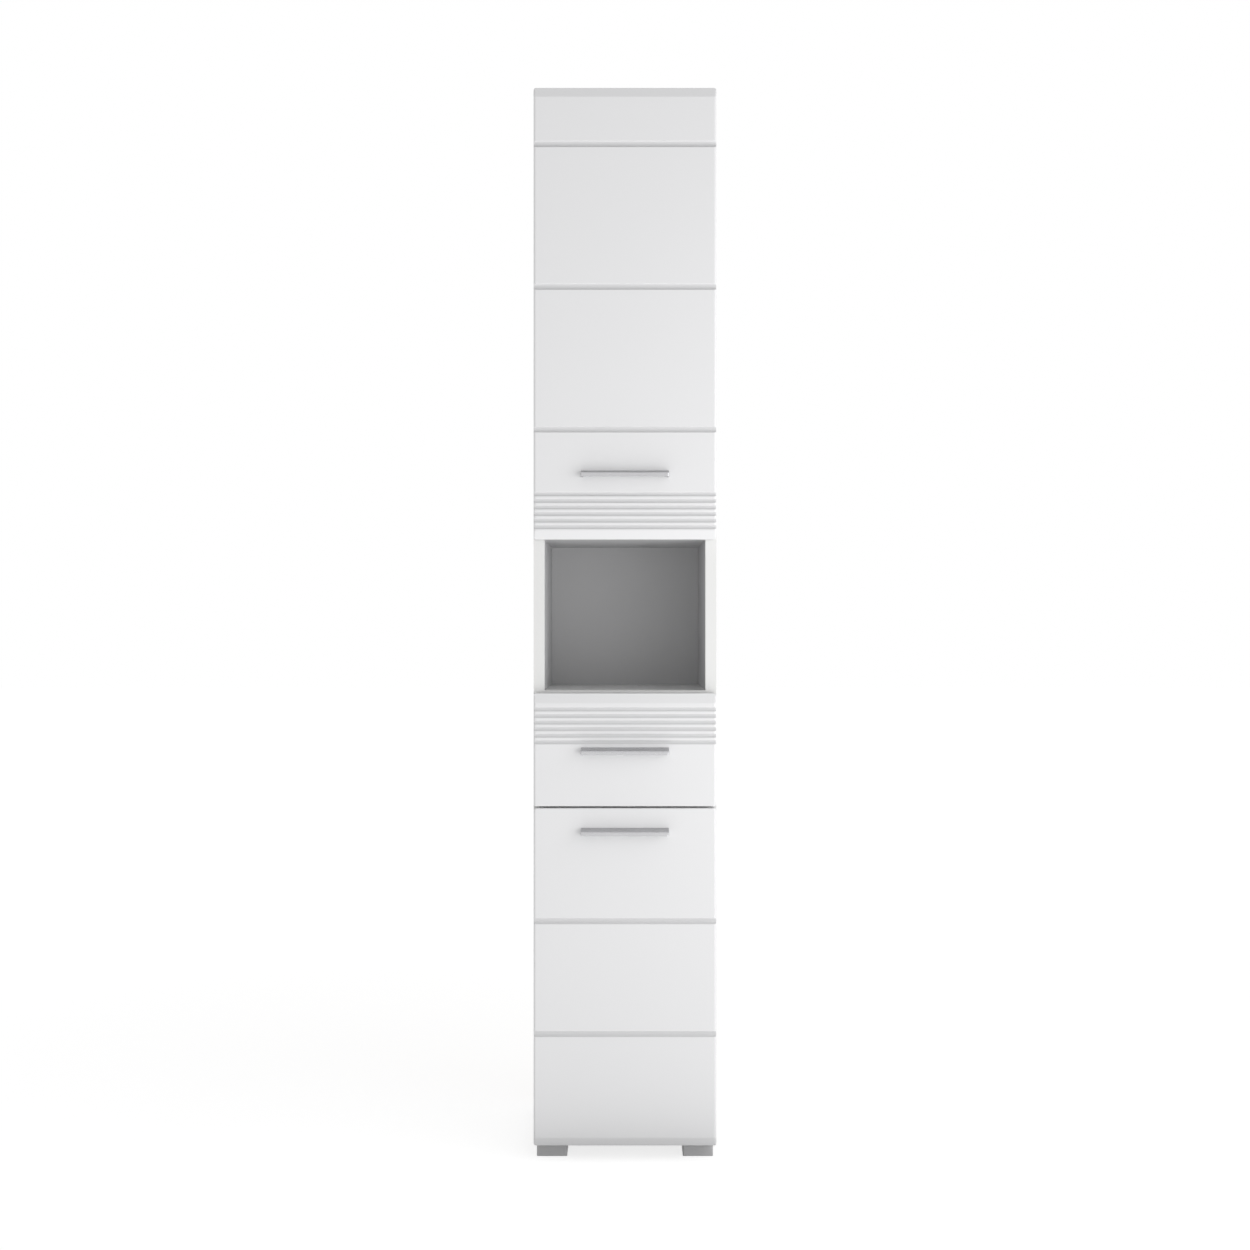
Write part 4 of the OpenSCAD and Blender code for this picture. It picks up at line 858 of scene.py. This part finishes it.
def hooded_pull(node, made):
    """A pull hollowed from below, with round corners and a bored boss for each of its screws."""
    sizes = bpy.context.scene.cabinet_handle
    low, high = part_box(node)
    deep, tall, wall = high.y - low.y, high.z - low.z, sizes.wall
    outer = hood_outline(0, 0, tall, deep, sizes.nose_r, sizes.slope)
    hollow = hood_outline(OVER, -OVER, tall - wall / math.cos(sizes.slope), deep - wall,
                          sizes.nose_r - wall, sizes.slope)
    plan = hood_plan(low.x, high.x, deep, sizes.end_r)
    screws = [(s["head"].x, s["head"].z - low.z) for s in fasteners(node + "_screws")]
    piece = prism(outer, low.x, high.x, made)
    carved(piece, [prism(hollow, low.x + sizes.end_wall, high.x - sizes.end_wall, made)])
    carved(piece, [prism(plan, -OVER, tall + OVER, made, upright=True)], "INTERSECT")
    carved(piece, [rod((x, 0, z), (x, -sizes.boss_l, z), sizes.boss_r, made, 32) for x, z in screws],
           "UNION")
    carved(piece, [rod((x, OVER, z), (x, -sizes.bore_l, z), sizes.bore_r, made, 24) for x, z in screws])
    rounded(piece, sizes.soft, 3)
    settled(piece)
    piece.data.transform(Matrix.Translation((0, high.y, low.z)))
    piece.name = node + "_hood"
    evened(piece)
    stands_for(piece, node)


class CABINET_OT_handles(bpy.types.Operator):
    """Builds the three hooded pulls with their bosses"""
    bl_idname = "cabinet.handles"
    bl_label = "Handles"

    def execute(self, context):
        made = satin_metal()
        for node in HANDLES:
            hooded_pull(node, made)
        return {"FINISHED"}


# Boards

class CABINET_OT_boards(bpy.types.Operator):
    """Finishes the carcass boards, the loose shelves and the thin backs"""
    bl_idname = "cabinet.boards"
    bl_label = "Boards"

    def execute(self, context):
        edge = 0.5 * MM
        # The side boards and the niche ceiling carry the niche's painted grey shade.
        softened(["left_side", "right_side"], melamine_board("white side boards", niche_shaded=True, raw=True),
                 edge)
        softened(["niche_ceiling"], melamine_board("niche ceiling board", niche_shaded=True), edge)
        softened(["top_panel", "bottom_panel", "niche_floor", "drawer_divider", "high_shelf", "low_shelf",
                  "lower_shelf"], melamine_board("white melamine boards"), edge)
        softened(["upper_back", "lower_back"], lacquered_hardboard("white hardboard", "back_front"),
                 0.15 * MM, segments=1)
        # The niche's back takes the same grey: painted shade of the niche.
        softened(["niche_back"], lacquered_hardboard("grey hardboard", "niche_shade_grey"), 0.15 * MM)
        return {"FINISHED"}


class CABINET_OT_drawer_box(bpy.types.Operator):
    """Finishes the sides, back and bottom of the drawer"""
    bl_idname = "cabinet.drawer_box"
    bl_label = "Drawer box"

    def execute(self, context):
        softened(["drawer_left_side", "drawer_right_side", "drawer_back"],
                 melamine_board("white drawer boards"), 0.4 * MM)
        softened(["drawer_bottom"], lacquered_hardboard("white drawer bottom", "back_front"), 0.15 * MM)
        return {"FINISHED"}


class CABINET_OT_feet(bpy.types.Operator):
    """Finishes the four feet"""
    bl_idname = "cabinet.feet"
    bl_label = "Feet"

    def execute(self, context):
        softened(["front_left_foot", "front_right_foot", "rear_left_foot", "rear_right_foot"],
                 moulded_polypropylene(), 0.7 * MM, segments=3)
        return {"FINISHED"}


class CABINET_OT_hinges(bpy.types.Operator):
    """Finishes the hinge cups, arms, plates and pins, the shelf supports and the wall bracket"""
    bl_idname = "cabinet.hinges"
    bl_label = "Hinges and metal parts"

    def execute(self, context):
        nickel = nickel_plated_steel()
        softened(["hinge_arms", "hinge_plates", "upper_hinge_cups", "lower_hinge_cups"], nickel, 0.3 * MM)
        softened(["upper_hinge_pins", "lower_hinge_pins"], nickel, 0.15 * MM)
        softened(["shelf_pins", "wall_bracket"], nickel, 0.35 * MM)
        softened(["cam_locks", "drawer_cam_locks"], cast_zinc(), 0.2 * MM)
        return {"FINISHED"}


class CABINET_OT_runners(bpy.types.Operator):
    """Finishes the rails and the rollers of the drawer"""
    bl_idname = "cabinet.runners"
    bl_label = "Drawer runners"

    def execute(self, context):
        softened(["left_cabinet_rail", "right_cabinet_rail", "left_drawer_rail", "right_drawer_rail"],
                 powder_coat(), 0.25 * MM)
        softened(["front_rollers", "rear_rollers"], natural_nylon(), 0.2 * MM)
        return {"FINISHED"}


# Screws, bolts and dowels

def lathe(rows, segments, shape):
    """A body of revolution about Z from rows of height and radius; shape changes a radius by its turn."""
    mesh = bmesh.new()
    rings = []
    for z, r in rows:
        ring = []
        for i in range(segments):
            turn, at = 2 * math.pi * (i / segments), shape(z, r, i / segments)
            ring.append(mesh.verts.new((at * math.cos(turn), at * math.sin(turn), z)))
        rings.append(ring)
    return closed(mesh, rings)


def thread(pitch, top, bottom, depth):
    """A shape for lathe: a helical ridge between two heights that runs out at both."""
    def shape(z, r, share):
        if not bottom < z < top:
            return r
        phase = (z / pitch + share) % 1
        ridge = max(0.0, 1 - 4 * abs(phase - 0.5))
        fade = min(1.0, (top - z) / pitch, (z - bottom) / pitch)
        return r - depth * (1 - ridge * fade)
    return shape


def recessed(piece, radius, depth, made):
    """Cuts a cross recess into a screw whose head's top is at z = 0."""
    half = bpy.context.scene.cabinet_fittings.recess_w / 2
    cutters = []
    for reach_x, reach_y in ((radius, half), (half, radius)):
        mesh = bmesh.new()
        ends = [[mesh.verts.new((x * reach_x * share, y * reach_y * share, z))
                 for x, y in ((-1, -1), (1, -1), (1, 1), (-1, 1))]
                for z, share in ((0.1 * MM, 1.0), (-depth, 0.45))]
        cutters.append(shown("cutter", closed(mesh, ends), made))
    return carved(piece, cutters)


def threaded(rows, radius, top, bottom, tip, pitch, depth, recess, made):
    """A screw with its head's rows, a thread between two heights, the row of its tip and a recess."""
    rows += [(z, radius) for z in steps(top, bottom, pitch / 6)[1:]] + [tip]
    mesh = lathe(rows, 20, thread(pitch, top, bottom, depth))
    return recessed(shown("model", mesh, made), *recess, made)


def pan_head_screw(place, made, pitch, pointed):
    """A pan-head screw, head's top at z = 0, sized like its node."""
    head_r, head_h, shank_r, tip = place["head_r"], place["head_h"], place["end_r"], -place["length"]
    dome, flat, rim = 0.7, 0.45, 0.97       # Shares of the head's height and of its radius
    neck_h, blunt = 1.2 * MM, 0.4 * MM
    rows = [(-head_h * (1 - math.sin(a)) * dome, head_r * (flat + (1 - flat) * math.cos(a)))
            for a in steps(QUARTER, 0, QUARTER / 7)]
    rows += [(-head_h, head_r * rim), (-head_h, shank_r), (-head_h - neck_h, shank_r)]
    end = (tip, 0.25 * MM if pointed else shank_r * 0.8)
    recess = (head_r * 0.62, min(head_h * 0.8 + 0.6 * MM, 2.2 * MM))
    bottom = tip + (3 * shank_r if pointed else blunt)
    return threaded(rows, shank_r, -head_h - neck_h, bottom, end, pitch, shank_r * 0.28, recess, made)


def cam_bolt(place, made, pitch):
    """A cam bolt, head's top at z = 0: a round head, a thin neck, a collar and a coarse thread."""
    head_r, head_h, thread_r, tip = place["head_r"], place["head_h"], place["end_r"], -place["length"]
    soft, neck_r, collar_r, collar_h, blunt = 0.3 * MM, 2 * MM, 3.8 * MM, 2.8 * MM, 0.8 * MM
    top = tip + 10.7 * MM
    rows = [(-soft * (1 - math.sin(a)), head_r - soft * (1 - math.cos(a)))
            for a in steps(QUARTER, 0, QUARTER / 4)]
    rows += [(-head_h, head_r), (-head_h - soft, neck_r), (top + 3 * MM, neck_r),
             (top + collar_h, collar_r), (top, collar_r), (top, thread_r)]
    return threaded(rows, thread_r, top, tip + blunt, (tip, thread_r * 0.6), pitch, 0.7 * MM,
                    (1.9 * MM, 1.8 * MM), made)


def fluted_dowel(place, radius, made):
    """A dowel with chamfered ends and glue flutes, one end at z = 0."""
    depth, count, chamfer = bpy.context.scene.cabinet_fittings.flute_depth, 20, 1 * MM
    tip = -place["length"]
    rows = [(0, radius - chamfer), (-chamfer, radius), (tip + chamfer, radius), (tip, radius - chamfer)]

    def flutes(z, r, share):
        return r - depth * (0.5 + 0.5 * math.cos(2 * math.pi * count * share))

    return shown("model", lathe(rows, 6 * count, flutes), made)


def set_out(name, model, places, node):
    """Copies a model, made about the origin with its head up Z, to each place, as one piece."""
    mesh = bmesh.new()
    for i, place in enumerate(places):
        start = len(mesh.verts)
        mesh.from_mesh(model.data)
        mesh.verts.ensure_lookup_table()
        spin = Matrix.Rotation(math.radians(37 * i + 11), 4, "Z")    # No two recesses stand alike
        bmesh.ops.transform(mesh, matrix=Matrix.Translation(place["head"]) @ pointing(-place["along"])
                            @ spin, verts=mesh.verts[start:])
    materials = list(model.data.materials)
    bpy.data.objects.remove(model)
    stands_for(shown(name, mesh, *materials), node)


class CABINET_OT_screws(bpy.types.Operator):
    """Builds every screw with its cross recess and thread"""
    bl_idname = "cabinet.screws"
    bl_label = "Screws"

    def execute(self, context):
        sizes = context.scene.cabinet_fittings
        nickel = nickel_plated_steel()
        for node in WOOD_SCREWS + MACHINE_SCREWS:
            places = fasteners(node)
            wood = node in WOOD_SCREWS
            model = pan_head_screw(places[0], nickel, sizes.thread_pitch if wood else sizes.machine_pitch,
                                   wood and node != "hinge_plate_screws")
            set_out(node + "_threaded", model, places, node)
        return {"FINISHED"}


class CABINET_OT_joinery(bpy.types.Operator):
    """Builds the cam bolts and the fluted dowels"""
    bl_idname = "cabinet.joinery"
    bl_label = "Cam bolts and dowels"

    def execute(self, context):
        nickel, pitch = nickel_plated_steel(), context.scene.cabinet_fittings.thread_pitch
        for node in ("cam_bolts", "drawer_cam_bolts"):
            places = fasteners(node)
            set_out(node + "_threaded", cam_bolt(places[0], nickel, pitch), places, node)
        places = fasteners("dowels")
        low, high = extents(solids("dowels")[0])
        set_out("dowels_fluted", fluted_dowel(places[0], (high.z - low.z) / 2, bare_beech()), places,
                "dowels")
        return {"FINISHED"}


class CABINET_OT_bumpers(bpy.types.Operator):
    """Finishes the clear domed bumpers behind the fronts"""
    bl_idname = "cabinet.bumpers"
    bl_label = "Bumpers"

    def execute(self, context):
        softened(["upper_door_bumpers", "lower_door_bumpers", "drawer_bumpers"], clear_bumper(), 0.1 * MM)
        return {"FINISHED"}


# Stage

SENSOR_W = 36                       # Width of the camera's sensor in its own millimetres
FILL_AT = (1.0, -0.9, 0.9)          # Place of the fill, which looks level at the cabinet's middle
FILL_SIZE = (0.9, 1.9)              # Width and height of the fill
HORIZON = {1: -0.15, 2: 0.15}       # From and to of the change between floor light and sky light
WHITE = (1, 1, 1, 1)


def background_rays(tree):
    """1 for rays that see the background straight, in metal or through something clear."""
    rays = add(tree, "LightPath").outputs
    seen = add(tree, "Math", {0: rays["Is Camera Ray"], 1: rays["Is Glossy Ray"]}, operation="MAXIMUM")
    return add(tree, "Math", {0: seen, 1: rays["Is Transmission Ray"]}, operation="MAXIMUM")


def studio_floor():
    """Seamless white studio floor: it stays white to the eye and keeps a pale shadow. Only what lies
    close round the cabinet gives light back to it."""
    made, tree, place = blank("seamless studio floor")
    glow_from, glow_to = 0.77, 0.82     # What is added to the floor's own light, near and far
    near, far = 0.6, 3                  # Metres from the cabinet at which these hold
    reach = 95 * MM                     # Up to here the floor gives its light back
    soft = add(tree, "TexNoise", {"Vector": place["Object"], "Scale": patches(0.4)})
    soft = add(tree, "Mix", {0: soft, 6: (0.43, 0.43, 0.43, 1), 7: (0.44, 0.44, 0.44, 1)},
               data_type="RGBA")
    shader = tree.nodes["Principled BSDF"]
    wire(tree, shader, {"Base Color": soft, "Roughness": 0.9, "Specular IOR Level": 0.0})
    low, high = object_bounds()
    spot = add(tree, "SeparateXYZ", {0: place["Object"]}).outputs
    past = {}
    for axis in (0, 1):
        middle, half = (low[axis] + high[axis]) / 2, (high[axis] - low[axis]) / 2
        off = add(tree, "Math", {0: spot[axis], 1: middle}, operation="SUBTRACT")
        off = add(tree, "Math", {0: off}, operation="ABSOLUTE")
        off = add(tree, "Math", {0: off, 1: half}, operation="SUBTRACT")
        past[axis] = add(tree, "Math", {0: off, 1: 0.0}, operation="MAXIMUM")
    away = add(tree, "VectorMath", {0: add(tree, "CombineXYZ", past)}, operation="LENGTH")
    level = add(tree, "MapRange", {0: away, 1: near, 2: far, 3: glow_from, 4: glow_to})
    glow = add(tree, "Emission", {0: WHITE, 1: level})
    lit = add(tree, "AddShader", {0: shader, 1: glow})
    close = add(tree, "BsdfDiffuse", {0: (0.3, 0.3, 0.3, 1)})
    dim = add(tree, "MixShader", {0: add(tree, "MapRange", {0: away, 1: 0, 2: reach}), 1: close,
                                  2: add(tree, "BsdfTransparent")})
    both = add(tree, "MixShader", {0: background_rays(tree), 1: dim, 2: lit})
    wire(tree, tree.nodes["Material Output"], {0: both})
    return made


def studio_light(levels):
    """The light of the studio, from all round and a little less from the left; behind it all is white."""
    world = bpy.data.worlds.new("studio")
    world.use_nodes = True
    tree = world.node_tree
    tree.nodes.clear()
    aim = add(tree, "SeparateXYZ", {0: add(tree, "TexCoord").outputs["Generated"]}).outputs
    level = add(tree, "MapRange", {0: aim[2], **HORIZON, 3: levels.ground, 4: levels.sky})
    side = add(tree, "MapRange", {0: aim[0], 1: -1, 2: 0, 3: levels.left, 4: 1})
    level = add(tree, "Math", {0: level, 1: side}, operation="MULTIPLY")
    light = add(tree, "Background", {0: WHITE, 1: level})
    white = add(tree, "Background", {0: WHITE, 1: 1.0})
    both = add(tree, "MixShader", {0: background_rays(tree), 1: light, 2: white})
    add(tree, "OutputWorld", {0: both})
    return world


class CABINET_OT_stage(bpy.types.Operator):
    """Lays the floor and sets the light and the camera"""
    bl_idname = "cabinet.stage"
    bl_label = "Stage"

    def execute(self, context):
        scene, levels = context.scene, context.scene.cabinet_stage
        mesh = bmesh.new()
        bmesh.ops.create_grid(mesh, x_segments=2, y_segments=2, size=20)
        floor = shown("studio_floor", mesh, studio_floor())
        floor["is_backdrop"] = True
        scene.world = studio_light(levels)

        lamp = bpy.data.lights.new("fill", "AREA")
        lamp.shape, lamp.energy = "RECTANGLE", levels.fill
        lamp.size, lamp.size_y = FILL_SIZE
        fill = bpy.data.objects.new("fill", lamp)
        fill.location = FILL_AT
        aim = Vector((0, 0, fill.location.z)) - fill.location
        fill.rotation_euler = aim.to_track_quat("-Z", "Z").to_euler()
        fill.visible_camera = False
        scene.collection.objects.link(fill)

        y_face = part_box("upper_door_panel")[0].y
        shot = bpy.data.cameras.new("camera")
        shot.lens, shot.sensor_width = levels.lens, SENSOR_W
        camera = bpy.data.objects.new("camera", shot)
        camera.location = (0, y_face - levels.distance, levels.eye)
        camera.rotation_euler = (QUARTER, 0, 0)
        scene.collection.objects.link(camera)
        scene.camera = camera
        scene.view_settings.view_transform = "Standard"
        return {"FINISHED"}


STEPS = [CABINET_OT_boards, CABINET_OT_drawer_box, CABINET_OT_fronts, CABINET_OT_handles, CABINET_OT_feet,
         CABINET_OT_hinges, CABINET_OT_runners, CABINET_OT_screws, CABINET_OT_joinery, CABINET_OT_bumpers,
         CABINET_OT_stage]


class CABINET_PT_panel(bpy.types.Panel):
    """Lists the steps that build the cabinet"""
    bl_idname = "CABINET_PT_panel"
    bl_label = "Tall bathroom cabinet"
    bl_space_type = "VIEW_3D"
    bl_region_type = "UI"
    bl_category = "Cabinet"

    def draw(self, context):
        for step in STEPS:
            self.layout.operator(step.bl_idname)
        for name, group in GROUPS.items():
            box = self.layout.box()
            for key in group.__annotations__:
                box.prop(getattr(context.scene, name), key)


CLASSES = [*GROUPS.values(), *STEPS, CABINET_PT_panel]


def register():
    for made in CLASSES:
        bpy.utils.register_class(made)
    for name, group in GROUPS.items():
        setattr(bpy.types.Scene, name, PointerProperty(type=group))


def unregister():
    for name in GROUPS:
        delattr(bpy.types.Scene, name)
    for made in reversed(CLASSES):
        bpy.utils.unregister_class(made)


def main():
    """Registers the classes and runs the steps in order."""
    register()
    for step in STEPS:
        getattr(bpy.ops.cabinet, step.bl_idname.split(".")[1])()


if __name__ == "__main__":
    main()
